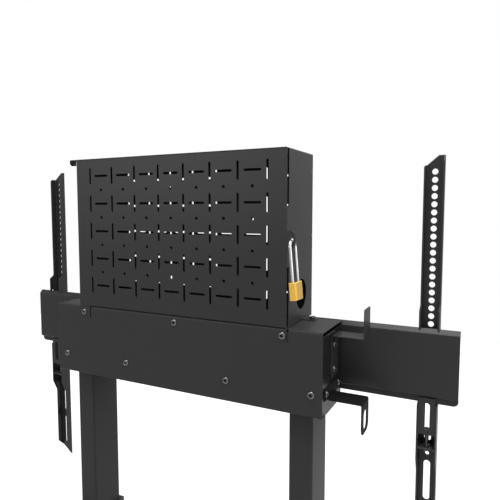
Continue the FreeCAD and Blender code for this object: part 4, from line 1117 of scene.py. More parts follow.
def fastener_tree() -> bpy.types.NodeTree:
    """Geometry tree that sets one head on every point, along the point's direction.

    Returns:
        The tree.
    """
    tree, graph, given, out = new_group(
        "fasteners_on_points", TreeKind.GEOMETRY,
        [("Geometry", Kind.GEOMETRY, None), ("Head", Kind.OBJECT, None), ("Spin Seed", Kind.INT, 3),
         ("Finish", Kind.MATERIAL, None)],
        [("Geometry", Kind.GEOMETRY)])
    direction = graph.add("GeometryNodeInputNamedAttribute", data_type="FLOAT_VECTOR")
    direction.inputs["Name"].default_value = "direction"
    align = graph.add("FunctionNodeAlignRotationToVector", axis="Z")
    graph.link(direction.outputs["Attribute"], align.inputs["Vector"])
    spin = graph.add("FunctionNodeRandomValue", data_type="FLOAT")
    least, most = [socket for socket in spin.inputs if socket.type == "VALUE"][:2]
    least.default_value = 0.0
    most.default_value = math.tau
    graph.link(given.outputs["Spin Seed"], spin.inputs["Seed"])
    about_axis = graph.add("FunctionNodeAxisAngleToRotation")
    about_axis.inputs["Axis"].default_value = (0.0, 0.0, 1.0)
    graph.link([socket for socket in spin.outputs if socket.type == "VALUE"][0], about_axis.inputs["Angle"])
    turned = graph.add("FunctionNodeRotateRotation", rotation_space="LOCAL")
    graph.link(align.outputs["Rotation"], turned.inputs["Rotation"])
    graph.link(about_axis.outputs["Rotation"], turned.inputs["Rotate By"])
    head = graph.add("GeometryNodeObjectInfo")
    graph.link(given.outputs["Head"], head.inputs["Object"])
    instances = graph.add("GeometryNodeInstanceOnPoints")
    graph.link(given.outputs["Geometry"], instances.inputs["Points"])
    graph.link(head.outputs["Geometry"], instances.inputs["Instance"])
    graph.link(turned.outputs["Rotation"], instances.inputs["Rotation"])
    close_tree(graph, instances.outputs["Instances"], given, out)
    return tree


def prism(graph: Graph, profile: Socket, depth: Socket) -> Socket:
    """Adds a closed prism through the plane Z = 0 to a geometry tree.

    Args:
        graph: The tree's graph.
        profile: Curve of its outline.
        depth: Half of its height.

    Returns:
        The socket with the prism.
    """
    low = graph.add("ShaderNodeCombineXYZ")
    graph.link(graph.math("MULTIPLY", depth, -1.0), low.inputs["Z"])
    high = graph.add("ShaderNodeCombineXYZ")
    graph.link(depth, high.inputs["Z"])
    line = graph.add("GeometryNodeCurvePrimitiveLine")
    graph.link(low.outputs[0], line.inputs["Start"])
    graph.link(high.outputs[0], line.inputs["End"])
    return swept(graph, line.outputs["Curve"], profile)


def swept(graph: Graph, path: Socket, profile: Socket) -> Socket:
    """Adds a sweep with closed ends to a geometry tree.

    Args:
        graph: The tree's graph.
        path: Curve that the profile follows.
        profile: Closed curve.

    Returns:
        The socket with the mesh.
    """
    sweep = graph.add("GeometryNodeCurveToMesh")
    sweep.inputs["Fill Caps"].default_value = True
    graph.link(path, sweep.inputs["Curve"])
    graph.link(profile, sweep.inputs["Profile Curve"])
    return sweep.outputs["Mesh"]


def slot_profile(graph: Graph, length: Socket, width: Socket) -> Socket:
    """Adds a slot outline with round ends to a geometry tree.

    Args:
        graph: The tree's graph.
        length: Length along X.
        width: Width along Y.

    Returns:
        The socket with the curve.
    """
    outline = graph.add("GeometryNodeCurvePrimitiveQuadrilateral", mode="RECTANGLE")
    graph.link(length, outline.inputs["Width"])
    graph.link(width, outline.inputs["Height"])
    slot = graph.add("GeometryNodeFilletCurve", mode="POLY")
    slot.inputs["Count"].default_value = SLOT_END_STEPS
    graph.link(graph.math("MULTIPLY", width, SLOT_END_SHARE), slot.inputs["Radius"])
    graph.link(outline.outputs["Curve"], slot.inputs["Curve"])
    return slot.outputs["Curve"]


def lattice(graph: Graph, counts: tuple[Socket, Socket], pitches: tuple[Socket, Socket], cutter: Socket,
            upright: bool = False) -> Socket:
    """Adds a lattice of one cutter, centred on the origin of its plane.

    Args:
        graph: The tree's graph.
        counts: Numbers of columns and rows.
        pitches: Distances between columns and between rows.
        cutter: The closed cutter.
        upright: True if the cutter is turned upright.

    Returns:
        The socket with the instances.
    """
    grid = graph.add("GeometryNodeMeshGrid")
    for axis, count, pitch in zip("XY", counts, pitches):
        size = graph.math("MULTIPLY", graph.math("SUBTRACT", count, 1.0), pitch)
        graph.link(size, grid.inputs["Size " + axis])
        graph.link(count, grid.inputs["Vertices " + axis])
    instances = graph.add("GeometryNodeInstanceOnPoints")
    graph.link(grid.outputs["Mesh"], instances.inputs["Points"])
    graph.link(cutter, instances.inputs["Instance"])
    if upright:
        instances.inputs["Rotation"].default_value = (0.0, 0.0, math.pi / 2)
    return instances.outputs["Instances"]


def perforation_tree() -> bpy.types.NodeTree:
    """Geometry tree that punches the pattern of slots and round holes through a panel.

    Returns:
        The tree.
    """
    tree, graph, given, out = new_group(
        "perforated_panel", TreeKind.GEOMETRY,
        [("Geometry", Kind.GEOMETRY, None), ("Columns", Kind.INT, 8), ("Rows", Kind.INT, 5),
         ("Pitch X", Kind.FLOAT, 0.05), ("Pitch Z", Kind.FLOAT, 0.05), ("Slot Length", Kind.FLOAT, 0.03),
         ("Slot Width", Kind.FLOAT, 0.004), ("Hole Diameter", Kind.FLOAT, 0.005),
         ("Cut Depth", Kind.FLOAT, 0.003), ("Centre", Kind.VECTOR, None), ("Finish", Kind.MATERIAL, None)],
        [("Geometry", Kind.GEOMETRY)])
    columns = given.outputs["Columns"]
    rows = given.outputs["Rows"]
    pitches = (given.outputs["Pitch X"], given.outputs["Pitch Z"])
    slot = prism(graph, slot_profile(graph, given.outputs["Slot Length"], given.outputs["Slot Width"]),
                 given.outputs["Cut Depth"])
    hole = graph.add("GeometryNodeCurvePrimitiveCircle", mode="RADIUS")
    hole.inputs["Resolution"].default_value = DRILL_SIDES
    graph.link(graph.math("MULTIPLY", given.outputs["Hole Diameter"], 0.5), hole.inputs["Radius"])
    drill = prism(graph, hole.outputs["Curve"], given.outputs["Cut Depth"])
    fewer_columns = graph.math("SUBTRACT", columns, 1.0)
    fewer_rows = graph.math("SUBTRACT", rows, 1.0)
    join = graph.add("GeometryNodeJoinGeometry")
    for pattern in (lattice(graph, (columns, rows), pitches, slot, upright=True),
                    lattice(graph, (fewer_columns, rows), pitches, slot),
                    lattice(graph, (fewer_columns, fewer_rows), pitches, drill)):
        graph.link(pattern, join.inputs["Geometry"])
    cutters = graph.add("GeometryNodeRealizeInstances")
    graph.link(join.outputs["Geometry"], cutters.inputs["Geometry"])
    raised = graph.add("GeometryNodeTransform")
    raised.inputs["Rotation"].default_value = (math.pi / 2, 0.0, 0.0)
    graph.link(given.outputs["Centre"], raised.inputs["Translation"])
    graph.link(cutters.outputs["Geometry"], raised.inputs["Geometry"])
    punched = graph.add("GeometryNodeMeshBoolean", operation="DIFFERENCE", solver="EXACT")
    graph.link(given.outputs["Geometry"], punched.inputs["Mesh 1"])
    graph.link(raised.outputs["Geometry"], punched.inputs["Mesh 2"])
    close_tree(graph, punched.outputs["Mesh"], given, out)
    return tree


def thread_tree() -> bpy.types.NodeTree:
    """Geometry tree that winds a thread ridge round an upright screw.

    Returns:
        The tree.
    """
    tree, graph, given, out = new_group(
        "thread_ridge", TreeKind.GEOMETRY,
        [("Geometry", Kind.GEOMETRY, None), ("Radius", Kind.FLOAT, 0.003), ("Pitch", Kind.FLOAT, 0.001),
         ("Length", Kind.FLOAT, 0.03), ("Ridge", Kind.FLOAT, 0.0004), ("Foot", Kind.VECTOR, None),
         ("Finish", Kind.MATERIAL, None)],
        [("Geometry", Kind.GEOMETRY)])
    spiral = graph.add("GeometryNodeCurveSpiral")
    spiral.inputs["Resolution"].default_value = THREAD_STEPS
    turns = graph.math("DIVIDE", given.outputs["Length"], given.outputs["Pitch"])
    graph.link(turns, spiral.inputs["Rotations"])
    graph.link(given.outputs["Radius"], spiral.inputs["Start Radius"])
    graph.link(given.outputs["Radius"], spiral.inputs["End Radius"])
    graph.link(given.outputs["Length"], spiral.inputs["Height"])
    ridge = graph.add("GeometryNodeCurvePrimitiveCircle", mode="RADIUS")
    ridge.inputs["Resolution"].default_value = RIDGE_SIDES
    graph.link(given.outputs["Ridge"], ridge.inputs["Radius"])
    placed = graph.add("GeometryNodeTransform")
    graph.link(swept(graph, spiral.outputs["Curve"], ridge.outputs["Curve"]), placed.inputs["Geometry"])
    graph.link(given.outputs["Foot"], placed.inputs["Translation"])
    close_tree(graph, placed.outputs["Geometry"], given, out)
    return tree


class Workshop:
    """The geometry trees, and the step that turns their result into plain meshes."""

    def __init__(self) -> None:
        """Builds the trees."""
        self.fasteners = fastener_tree()
        self.perforation = perforation_tree()
        self.thread = thread_tree()

    def run(self, name: str, start: bpy.types.Mesh, tree: bpy.types.NodeTree,
            values: dict[str, object]) -> bpy.types.Mesh:
        """Runs a geometry tree on a mesh.

        Args:
            name: Name of the result.
            start: Mesh that goes in, removed here.
            tree: The tree.
            values: Value of each named input.

        Returns:
            The result as a plain mesh.
        """
        carrier = new_piece(name + "_carrier", start)
        modifier = carrier.modifiers.new("tree", "NODES")
        modifier.node_group = tree
        for item in tree.interface.items_tree:
            if item.item_type == "SOCKET" and item.in_out == "INPUT" and item.name in values:
                modifier[item.identifier] = values[item.name]
        result = evaluated_mesh(carrier)
        discard(carrier)
        result.name = name
        return result

    def fasten(self, name: str, body: str, finish: Finish, head: FastenerHead,
               places: list[tuple[Point, Axis]], *nodes: str) -> bpy.types.Object:
        """Makes one piece of all the fasteners of a kind on a body.

        Args:
            name: Name of the piece.
            body: Body that carries them.
            finish: Their finish.
            head: Shape of one.
            places: Seat and pointing direction of each.
            *nodes: Solids that the piece replaces.

        Returns:
            The piece.
        """
        points = bpy.data.meshes.new(name + "_points")
        points.from_pydata([place for place, _ in places], [], [])
        attribute = points.attributes.new("direction", "FLOAT_VECTOR", "POINT")
        attribute.data.foreach_set("vector", [value for _, axis in places for value in axis.value])
        pattern = new_piece(name + "_head", head.mesh(name + "_head"))
        mesh = self.run(name, points, self.fasteners,
                        {"Head": pattern, "Spin Seed": len(places), "Finish": PAINT.material(finish)})
        discard(pattern)
        return deliver(new_piece(name, mesh), body, finish, *nodes)


WORKSHOP = Workshop()


def rounded(points: Outline, radii: Sequence[float], steps: int = 5) -> Outline:
    """Outline with its corners rounded.

    Args:
        points: Corners in order.
        radii: Radius of each corner, 0 for a sharp one.
        steps: Segments of each arc.

    Returns:
        The denser outline.
    """
    result: Outline = []
    count = len(points)
    for index, radius in enumerate(radii):
        corner = Vector(points[index])
        if radius <= 0:
            result.append((corner.x, corner.y))
            continue
        before = (Vector(points[index - 1]) - corner).normalized()
        after = (Vector(points[(index + 1) % count]) - corner).normalized()
        half = before.angle(after) / 2
        centre = corner + (before + after).normalized() * radius / math.sin(half)
        start = corner + before * radius / math.tan(half) - centre
        end = corner + after * radius / math.tan(half) - centre
        for step in range(steps + 1):
            spoke = start.slerp(end, step / steps).normalized() * radius
            result.append((centre.x + spoke.x, centre.y + spoke.y))
    return result


@dataclass
class ThumbScrew:
    """Knurled thumb screw on the foot ear of the box.

    Profiles give parts of the head's radius and of its height, from its foot up.
    """

    seat: float
    shank: float = 0.0025
    length: float = 0.012
    foot_share: float = 0.94
    ribbed_levels: tuple[float, ...] = (0.1, 0.7)
    crown: tuple[Span, ...] = ((0.88, 1.0), (0.6, 1.0), (0.5, 0.75), (0.15, 0.7))
    ribs: int = 24
    rib_share: float = 0.03
    points: int = 96

    def build(self) -> None:
        """Builds the screw in the place of its solid."""
        low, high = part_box("box_thumb_screw")
        centre = Vector(((low.x + high.x) / 2, (low.y + high.y) / 2, self.seat))
        radius = (high.x - low.x) / 2
        height = high.z - centre.z

        def knurl(angle: float) -> float:
            """Returns the radius of the ribbed rim."""
            return radius * (1 - self.rib_share + self.rib_share * math.cos(angle * self.ribs))

        rings = [circle(self.shank, -self.length, self.points), circle(self.shank, 0.0, self.points),
                 circle(radius * self.foot_share, 0.0, self.points)]
        rings += [ring(knurl, height * level, self.points) for level in self.ribbed_levels]
        rings += [circle(radius * share, height * level, self.points) for share, level in self.crown]
        shape = bmesh.new()
        skin(shape, rings)
        bmesh.ops.translate(shape, vec=centre, verts=shape.verts)
        deliver(finished("thumb_screw", shape, DARK_SCREW), "lift", DARK_SCREW, "box_thumb_screw")


@dataclass
class EquipmentBox:
    """The lockable box on the cover: folded shell, perforated door and back, hinges and rivets."""

    half_width: float = 0.210
    front: float = 0.030
    bottom: float = 0.750
    height: float = 0.271
    sheet: float = 0.0015
    cut_depth: float = 0.0024
    pitch_x: float = 0.05066
    pitch_z: float = 0.0497
    slot_length: float = 0.030
    slot_width: float = 0.0038
    hole_diameter: float = 0.0052
    columns: int = 8
    rows: int = 5
    door_gap: float = 0.0003
    door_side_gap: float = 0.001
    door_radius: float = 0.001
    door_first_column: float = -0.1764
    door_top_row: float = 0.2399
    back_gap: float = 0.0002
    back_first_column: float = -0.174
    back_top_row: float = 0.2369
    back_depth: float = 0.1016
    back_flange: float = 0.009
    fold_radius: float = 0.0015
    inner_fold_radius: float = 0.0005
    fold_steps: int = 3
    tab_reach: float = 0.0138
    tab_low: float = 0.122
    tab_high: float = 0.1488
    tab_radius: float = 0.008
    eye_x: float = 0.217
    eye_low: float = 0.128
    eye_high: float = 0.1395
    eye_width: float = 0.0062
    ear_side: float = 0.2105
    ear_low: float = 0.255
    seam_start: float = -0.1835
    seam_depth: float = 0.004
    rivet_heights: tuple[float, ...] = (0.030, 0.135, 0.240)
    rivet: FastenerHead = FastenerHead(diameter=0.006, height=0.001, shank=0.0032, length=0.005,
                                       recess=Recess.BLIND_RIVET, sides=20)
    bolt_columns: tuple[float, ...] = (-0.150, 0.150)
    bolt_depths: tuple[float, ...] = (0.030, 0.080)
    bolt: FastenerHead = FastenerHead(diameter=0.010, height=0.004, shank=0.006, length=0.009)

    def build(self) -> None:
        """Builds every piece of the box."""
        self.door()
        self.back_panel()
        self.shell()
        self.rivets()
        ThumbScrew(self.bottom + self.sheet).build()
        for node in ("hinge_fixed_leaves", "hinge_door_leaves"):
            dressed_solid(node, ZINC, Edge.LEAF)
        PAINT.coat_nodes(ZINC, "hinge_pins")
        self.floor_bolts()

    def pattern(self, columns: int, rows: int, slot: Span, centre: Point) -> dict[str, object]:
        """Values of the perforation tree for one pattern.

        Args:
            columns: Number of columns of upright slots.
            rows: Number of rows.
            slot: Length and width of a slot.
            centre: Middle of the pattern.

        Returns:
            The value of each named input.
        """
        return {"Columns": columns, "Rows": rows, "Pitch X": self.pitch_x, "Pitch Z": self.pitch_z,
                "Slot Length": slot[0], "Slot Width": slot[1], "Hole Diameter": self.hole_diameter,
                "Cut Depth": self.cut_depth, "Centre": centre, "Finish": PAINT.material(ANTHRACITE)}

    def punched(self, name: str, shape: Shape, first_column: float, top_row: float, depth: float,
                body: str, node: str) -> None:
        """Punches the slot pattern through a panel and puts it in place of its solid.

        Args:
            name: Name of the piece.
            shape: The plain panel.
            first_column: X of the first column of upright slots.
            top_row: Height of the top row over the box floor.
            depth: Y of the middle of the panel's sheet.
            body: Body that carries it.
            node: Solid that it replaces.
        """
        centre = (first_column + (self.columns - 1) * self.pitch_x / 2, depth,
                  self.bottom + top_row - (self.rows - 1) * self.pitch_z / 2)
        values = self.pattern(self.columns, self.rows, (self.slot_length, self.slot_width), centre)
        start = shape_to_mesh(name + "_blank", shape)
        panel = mesh_to_shape(WORKSHOP.run(name, start, WORKSHOP.perforation, values))
        merge_faces(panel, PANEL_MERGE_GAP)
        soften_edges(panel, Edge.PANEL, BLUNT_ANGLE, segments=1)
        deliver(finished(name, panel, ANTHRACITE), body, ANTHRACITE, node)

    def door(self) -> None:
        """Perforated door with the hasp tab and the eye in it."""
        left = -self.half_width + self.door_side_gap
        low = self.bottom + self.sheet + self.door_gap
        high = self.bottom + self.height - self.sheet - self.door_gap
        tab_edge = self.half_width + self.tab_reach
        tab_low = self.bottom + self.tab_low
        tab_high = self.bottom + self.tab_high
        points = [(left, low), (self.half_width, low), (self.half_width, tab_low), (tab_edge, tab_low),
                  (tab_edge, tab_high), (self.half_width, tab_high), (self.half_width, high), (left, high)]
        corner = self.door_radius
        outline = rounded(points, (corner, corner, 0, self.tab_radius, self.tab_radius, 0, corner, corner))
        sheet = plate(outline, self.front, self.front + self.sheet)
        self.punched("door_sheet", self.pierced(sheet), self.door_first_column, self.door_top_row,
                     self.front + self.sheet / 2, "door", "door_panel")

    def pierced(self, sheet: Shape) -> Shape:
        """Cuts the eye for the shackle through the hasp tab.

        Args:
            sheet: The door's plain sheet.

        Returns:
            The sheet with the eye.
        """
        middle = self.bottom + (self.eye_low + self.eye_high) / 2
        values = self.pattern(1, 1, (self.eye_high - self.eye_low, self.eye_width),
                              (self.eye_x, self.front + self.sheet / 2, middle))
        blank = shape_to_mesh("door_blank", sheet)
        return mesh_to_shape(WORKSHOP.run("door_eye", blank, WORKSHOP.perforation, values))

    def back_panel(self) -> None:
        """Perforated pan between the side walls, open toward the screen."""
        outer_x = self.half_width - self.sheet - self.back_gap
        low = self.bottom + self.sheet + self.back_gap
        high = self.bottom + self.height - self.sheet - self.back_gap
        face = self.front + self.back_depth
        end = face + self.sheet + self.back_flange
        outer = self.fold_line(outer_x, low, high, self.fold_radius)
        inner = self.fold_line(outer_x - self.sheet, low + self.sheet, high - self.sheet,
                               self.inner_fold_radius)
        lines = ((outer, face), (outer, end), (inner, end), (inner, face + self.sheet))
        shape = bmesh.new()
        skin(shape, [[Vector((x, depth, z)) for x, z in line] for line, depth in lines])
        self.punched("back_sheet", shape, self.back_first_column, self.back_top_row, face + self.sheet / 2,
                     "lift", "box_back_panel")

    def fold_line(self, half: float, low: float, high: float, radius: float) -> Outline:
        """Outline of the pan's flanges.

        Args:
            half: Half of its width.
            low: Its lower edge.
            high: Its upper edge.
            radius: Radius of its corners.

        Returns:
            The outline.
        """
        corners = [(-half, low), (half, low), (half, high), (-half, high)]
        return rounded(corners, (radius,) * len(corners), self.fold_steps)

    def shell(self) -> None:
        """Folded shell with the dark seam over the cover, and its ear at the upper left corner painted near
        black as painted shade.
        """
        seam = ((self.seam_start, self.front - self.sheet, self.bottom - self.sheet),
                (self.half_width - self.sheet, self.front + self.seam_depth, self.bottom + self.sheet))
        shell = dressed_solid("box_shell", ANTHRACITE, Edge.THIN_SHEET, blocks=(seam,))
        # Painted shade: the ear's faces take the near-black coat.
        shell.data.materials.append(PAINT.material(SHADE_BLACK))
        for face in shell.data.polygons:
            if face.center.x < -self.ear_side and face.center.z > self.bottom + self.ear_low:
                face.material_index = 1

    def rivets(self) -> None:
        """Blind rivets through the side walls into the back panel's flanges."""
        depth = self.front + self.back_depth + self.sheet + self.back_flange / 2
        places = []
        for height in self.rivet_heights:
            places.append(((self.half_width, depth, self.bottom + height), Axis.RIGHT))
            places.append(((-self.half_width, depth, self.bottom + height), Axis.LEFT))
        WORKSHOP.fasten("box_rivet_heads", "lift", DARK_SCREW, self.rivet, places, "box_rivets")

    def floor_bolts(self) -> None:
        """Bolts through the floor of the box, each with its nut under the cover."""
        places = [((x, self.front + depth, self.bottom + self.sheet), Axis.UP)
                  for x in self.bolt_columns for depth in self.bolt_depths]
        WORKSHOP.fasten("box_bolt_heads", "lift", DARK_SCREW, self.bolt, places)
        PAINT.coat_nodes(ZINC, "box_bolts")


@dataclass
class Padlock:
    """Brass padlock on a long shackle, hanging in the hasp tab."""

    body_edge: Edge = Edge.LOCK_BODY
    plug_edge: Edge = Edge.SMALL

    def build(self) -> None:
        """Dresses the shackle, the body and the key plug."""
        dressed_solid("padlock_body", BRASS, self.body_edge, BLUNT_ANGLE)
        PAINT.coat_nodes(CHROME, "padlock_shackle")
        dressed_solid("padlock_plug", BRASS, self.plug_edge, BLUNT_ANGLE)


@dataclass
class DriveCover:
    """Sheet cover over the drives, its screws, the chassis behind it and the end plates."""

    front: float = 0.030
    top: float = 0.750
    sheet: float = 0.0015
    upper_drop: float = 0.011
    lower_drop: float = 0.0955
    upper_columns: tuple[float, ...] = (-0.199, 0.005, 0.203)
    lower_columns: tuple[float, ...] = (-0.245, -0.101, 0.105, 0.250)
    screw: FastenerHead = FastenerHead(diameter=0.0122, height=0.0028, shank=0.005, length=0.009)
    slit_columns: tuple[float, float] = (-0.1835, 0.212)
    slit_width: float = 0.0032
    slit_drop: float = 0.021

    def build(self) -> None:
        """Builds every piece of the cover."""
        slits = [((x - self.slit_width / 2, self.front - self.sheet, self.top - self.slit_drop),
                  (x + self.slit_width / 2, self.front + self.sheet * 2, self.top + self.sheet))
                 for x in self.slit_columns]
        dressed_solid("cover", SHEET_COAT, Edge.SHEET, blocks=slits)
        dressed_solid("end_plate_left", SATIN_COAT, Edge.PLATE)
        dressed_solid("end_plate_right", SATIN_COAT, Edge.PLATE)
        dressed_solid("cross_channel", BLACK_COAT, Edge.SHEET)
        self.screws()

    def screws(self) -> None:
        """Pan-head screws of the cover's rear face."""
        seats = [(x, self.top - self.upper_drop) for x in self.upper_columns]
        seats += [(x, self.top - self.lower_drop) for x in self.lower_columns]
        places = [((x, self.front, z), Axis.WALL) for x, z in seats]
        WORKSHOP.fasten("cover_screw_heads", "lift", SCREW_STEEL, self.screw, places, "cover_screws")


@dataclass
class Crossbeam:
    """Crossbeam with its slanted lip, and the bolts that hold it."""

    inner_face: float = 0.1351
    bolt_x: float = 0.250
    bolt_heights: tuple[float, float] = (0.725, 0.6569)
    side_x: float = 0.265
    side_depth: float = 0.0904
    side_heights: tuple[float, float] = (0.7204, 0.6803)
    bolt: FastenerHead = FastenerHead(diameter=0.009, height=0.0026, shank=0.005, length=0.006)

    def build(self) -> None:
        """Builds the beam and its bolts."""
        dressed_solid("crossbeam", ANTHRACITE, Edge.PLATE)
        places = [((side * self.bolt_x, self.inner_face, z), Axis.WALL)
                  for side in (-1, 1) for z in self.bolt_heights]
        places += [((-self.side_x, self.side_depth, z), Axis.LEFT) for z in self.side_heights]
        WORKSHOP.fasten("frame_bolt_heads", "lift", DARK_SCREW, self.bolt, places, "frame_bolts")


@dataclass
class CableHooks:
    """The two cable hooks on the right end plate."""

    seat: float = 0.2665
    upper_depth: float = 0.0904
    upper_heights: tuple[float, float] = (0.7204, 0.6803)
    lower_depths: tuple[float, float] = (0.0538, 0.1152)
    lower_height: float = 0.6516
    screw: FastenerHead = FastenerHead(diameter=0.0105, height=0.0026, shank=0.005, length=0.006)

    def build(self) -> None:
        """Builds the hooks and their screws."""
        dressed_solid("upper_cable_hook", ANTHRACITE, Edge.THIN_SHEET)
        # Painted shade: the lower hook under the beam takes the near-black coat.
        dressed_solid("lower_cable_hook", SHADE_BLACK, Edge.THIN_SHEET)
        places = [((self.seat, self.upper_depth, z), Axis.RIGHT) for z in self.upper_heights]
        places += [((self.seat, y, self.lower_height), Axis.RIGHT) for y in self.lower_depths]
        WORKSHOP.fasten("hook_screw_heads", "lift", SCREW_STEEL, self.screw, places, "hook_screws")


@dataclass
class ScreenArm:
    """One arm for the screen with the lock plate and the lock screw under the beam."""

    side: Side
    spacing: float = 0.800
    screw_depth: float = 0.152
    thread_radius: float = 0.0028
    thread_pitch: float = 0.001
    thread_ridge: float = 0.0003
    thread_low: float = 0.5625
    thread_length: float = 0.0235

    def build(self) -> None:
        """Builds the arm and its lock."""
        dressed_solid(self.side.named("screen_arm"), ARM_COAT, Edge.SHEET)
        dressed_solid(self.side.named("lock_plate"), ARM_COAT, Edge.THIN_SHEET)
        dressed_solid(self.side.named("lock_screw"), DARK_SCREW, Edge.THIN_SHEET, BLUNT_ANGLE)
        self.thread()

    def thread(self) -> None:
        """Thread ridge on the lock screw."""
        name = self.side.named("lock_thread")
        foot = (self.side.value * self.spacing / 2, self.screw_depth, self.thread_low)
        values = {"Radius": self.thread_radius, "Pitch": self.thread_pitch, "Length": self.thread_length,
                  "Ridge": self.thread_ridge, "Foot": foot, "Finish": PAINT.material(DARK_SCREW)}
        mesh = WORKSHOP.run(name, bpy.data.meshes.new("thread_start"), WORKSHOP.thread, values)
        deliver(new_piece(name, mesh), self.side.named("lock_screw"), DARK_SCREW)


@dataclass
class Column:
    """One telescoping column with its drive."""

    side: Side
    dressed: tuple[tuple[str, Finish, Edge], ...] = (
        ("inner_tube", SHEET_COAT, Edge.SHEET), ("outer_tube", SHEET_COAT, Edge.PLATE),
        ("tube_collar", BLACK_PLASTIC, Edge.HEAVY), ("base_plate", BLACK_COAT, Edge.HEAVY),
        ("column_head", BLACK_COAT, Edge.PLATE), ("gearbox", CAST, Edge.CASTING),
        ("motor", BLACK_COAT, Edge.HEAVY))
    coated: tuple[tuple[str, Finish], ...] = (
        ("nut_tube", ZINC), ("spindle", ZINC), ("spindle_bearing", ZINC), ("spindle_nut", NYLON),
        ("glide_pads", NYLON), ("glide_shoes", NYLON))

    def build(self) -> None:
        """Builds the tubes and the drive."""
        for stem, finish, edge in self.dressed:
            dressed_solid(self.side.named(stem), finish, edge)
        for stem, finish in self.coated:
            PAINT.coat_nodes(finish, self.side.named(stem))


@dataclass
class WallFixing:
    """The two wall rails and the bolts into the fixed tubes."""

    column_x: float = 0.225
    seat: float = 0.0452
    rail_z: float = 0.250
    lip_z: float = 0.026
    bolt: FastenerHead = FastenerHead(diameter=0.013, height=0.0055, shank=0.008, length=0.006)

    def build(self) -> None:
        """Builds the rails and their bolts."""
        dressed_solid("wall_rail_upper", ANTHRACITE, Edge.HEAVY)
        dressed_solid("wall_rail_lower", ANTHRACITE, Edge.HEAVY)
        places = [((column * self.column_x, self.seat, rail * self.rail_z + lip * self.lip_z), Axis.WALL)
                  for column in (-1, 1) for rail in (-1, 1) for lip in (-1, 1)]
        WORKSHOP.fasten("rail_bolt_heads", "base", ZINC, self.bolt, places, "rail_bolts")


@dataclass
class Control:
    """Motor control housing with its appliance inlet."""

    housing_edge: Edge = Edge.CASTING
    inlet_edge: Edge = Edge.SMALL

    def build(self) -> None:
        """Dresses the housing and the inlet."""
        dressed_solid("control_box", BLACK_PLASTIC, self.housing_edge)
        dressed_solid("mains_inlet", BLACK_PLASTIC, self.inlet_edge)


@dataclass(frozen=True)
class Softbox:
    """Square soft light that faces a point, with its power in watts."""

    name: str
    place: Point
    target: Point
    size: float
    power: float

    def build(self) -> None:
        """Hangs the light in its place."""
        data = bpy.data.lights.new(self.name, "AREA")
        data.shape = "SQUARE"
        data.size = self.size
        data.energy = self.power
        light = bpy.data.objects.new(self.name, data)
        light.location = self.place
        direction = Vector(self.target) - Vector(self.place)
        light.rotation_euler = direction.to_track_quat("-Z", "Y").to_euler()
        bpy.context.scene.collection.objects.link(light)


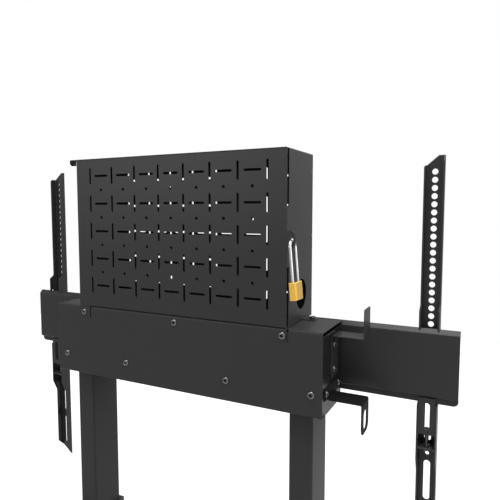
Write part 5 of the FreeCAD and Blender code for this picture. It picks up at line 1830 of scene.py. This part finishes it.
@dataclass
class Studio:
    """Floor, soft light, white background and the camera."""

    camera_place: Point = (0.4899, -0.6461, 0.9268)
    yaw: float = 26.747
    tilt: float = 85.499
    lens: float = 35.515
    sensor: float = 36.0
    near_limit: float = 0.01
    world_strength: float = 0.46
    reflected_share: float = 0.3
    floor_size: float = 9.0
    floor_colour: Colour = (0.60, 0.60, 0.60)
    floor_patch_colour: Colour = (0.62, 0.62, 0.62)
    floor_patch_scale: float = 3.0
    floor_patch_detail: float = 2.0
    floor_patch_span: Span = (0.3, 0.7)
    floor_roughness: float = 0.9
    floor_specular: float = 0.1
    glow_reach: Span = (1.2, 3.0)
    near_glow: float = 0.42
    far_glow: float = 0.86
    softboxes: tuple[Softbox, ...] = (
        Softbox("overhead", place=(0.4, -0.7, 2.9), target=(0.1, 0.1, 0.75), size=1.5, power=56.0),
        Softbox("right", place=(2.5, 0.8, 1.6), target=(0.2, 0.1, 0.8), size=1.8, power=34.0),
        Softbox("front_right", place=(1.9, -1.9, 1.4), target=(0.1, 0.1, 0.7), size=1.6, power=9.0),
        Softbox("front_left", place=(-1.6, -2.4, 1.8), target=(0.0, 0.1, 0.8), size=1.8, power=22.0),
        Softbox("rear", place=(0.9, 2.3, 2.4), target=(0.0, 0.1, 0.6), size=1.6, power=22.0))

    def build(self) -> None:
        """Builds the whole studio."""
        self.camera()
        self.background()
        self.floor()
        for softbox in self.softboxes:
            softbox.build()

    def camera(self) -> None:
        """Camera at the photograph's place."""
        data = bpy.data.cameras.new("camera")
        data.sensor_fit = "HORIZONTAL"
        data.sensor_width = self.sensor
        data.lens = self.lens
        data.clip_start = self.near_limit
        camera = bpy.data.objects.new("camera", data)
        camera.location = self.camera_place
        camera.rotation_euler = (math.radians(self.tilt), 0.0, math.radians(self.yaw))
        bpy.context.scene.collection.objects.link(camera)
        bpy.context.scene.camera = camera

    def background_share(self, graph: Graph) -> Socket:
        """Adds the share of the white background that a ray meets.

        Args:
            graph: Graph of the world or of the floor.

        Returns:
            The socket: 1 to the eye and through glass, less in reflections, 0 as a light.
        """
        path = graph.add("ShaderNodeLightPath")
        seen = graph.math("MAXIMUM", path.outputs["Is Camera Ray"], path.outputs["Is Transmission Ray"])
        mirrored = graph.math("MULTIPLY", path.outputs["Is Glossy Ray"], self.reflected_share)
        return graph.math("MAXIMUM", seen, mirrored)

    def background(self) -> None:
        """White world to the eye, dimmer in reflections and as a light."""
        world = bpy.data.worlds.new("studio_world")
        world.use_nodes = True
        bpy.context.scene.world = world
        graph = Graph(world.node_tree)
        shader = world.node_tree.nodes["Background"]
        graph.feed((1.0, 1.0, 1.0), shader.inputs["Color"])
        graph.link(graph.math("MAXIMUM", self.background_share(graph), self.world_strength),
                   shader.inputs["Strength"])

    def floor(self) -> None:
        """Plain pale floor under the lift."""
        low = CAD_BOX[0][2]
        half = self.floor_size / 2
        mesh = bpy.data.meshes.new("floor")
        mesh.from_pydata([(-half, -half, low), (half, -half, low), (half, half, low), (-half, half, low)], [],
                         [(0, 1, 2, 3)])
        piece = new_piece("floor", mesh)
        mesh.materials.append(self.floor_material())

    def floor_material(self) -> bpy.types.Material:
        """Matte pale floor that fades into the white background away from the lift.

        Returns:
            The material.
        """
        material, graph, shader, place = start_material("pale_floor")
        patches = graph.noise(place, self.floor_patch_scale, self.floor_patch_detail)
        tone = graph.mix_colour(graph.remap(patches, self.floor_patch_span), self.floor_colour,
                                self.floor_patch_colour)
        graph.link(tone, shader.inputs["Base Color"])
        shader.inputs["Roughness"].default_value = self.floor_roughness
        shader.inputs["Specular IOR Level"].default_value = self.floor_specular
        distance = graph.add("ShaderNodeVectorMath", operation="LENGTH")
        graph.link(place, distance.inputs[0])
        lift = graph.remap(distance.outputs["Value"], self.glow_reach, self.near_glow, self.far_glow)
        glow = graph.add("ShaderNodeEmission")
        graph.link(graph.math("MULTIPLY", self.background_share(graph), lift), glow.inputs["Strength"])
        total = graph.add("ShaderNodeAddShader")
        graph.link(shader.outputs[0], total.inputs[0])
        graph.link(glow.outputs[0], total.inputs[1])
        graph.link(total.outputs[0], material.node_tree.nodes["Material Output"].inputs["Surface"])
        return material


def main() -> None:
    """Builds the sub-assemblies in order and reports each piece."""
    logging.basicConfig(level=logging.INFO, format="%(message)s")
    bpy.context.scene.view_settings.view_transform = "Standard"
    parts = [Studio(), EquipmentBox(), Padlock(), DriveCover(), Crossbeam(), CableHooks(),
             ScreenArm(Side.LEFT), ScreenArm(Side.RIGHT), Column(Side.LEFT), Column(Side.RIGHT),
             WallFixing(), Control()]
    for part in parts:
        LOG.info("building %s", type(part).__name__)
        part.build()


if __name__ == "__main__":
    main()
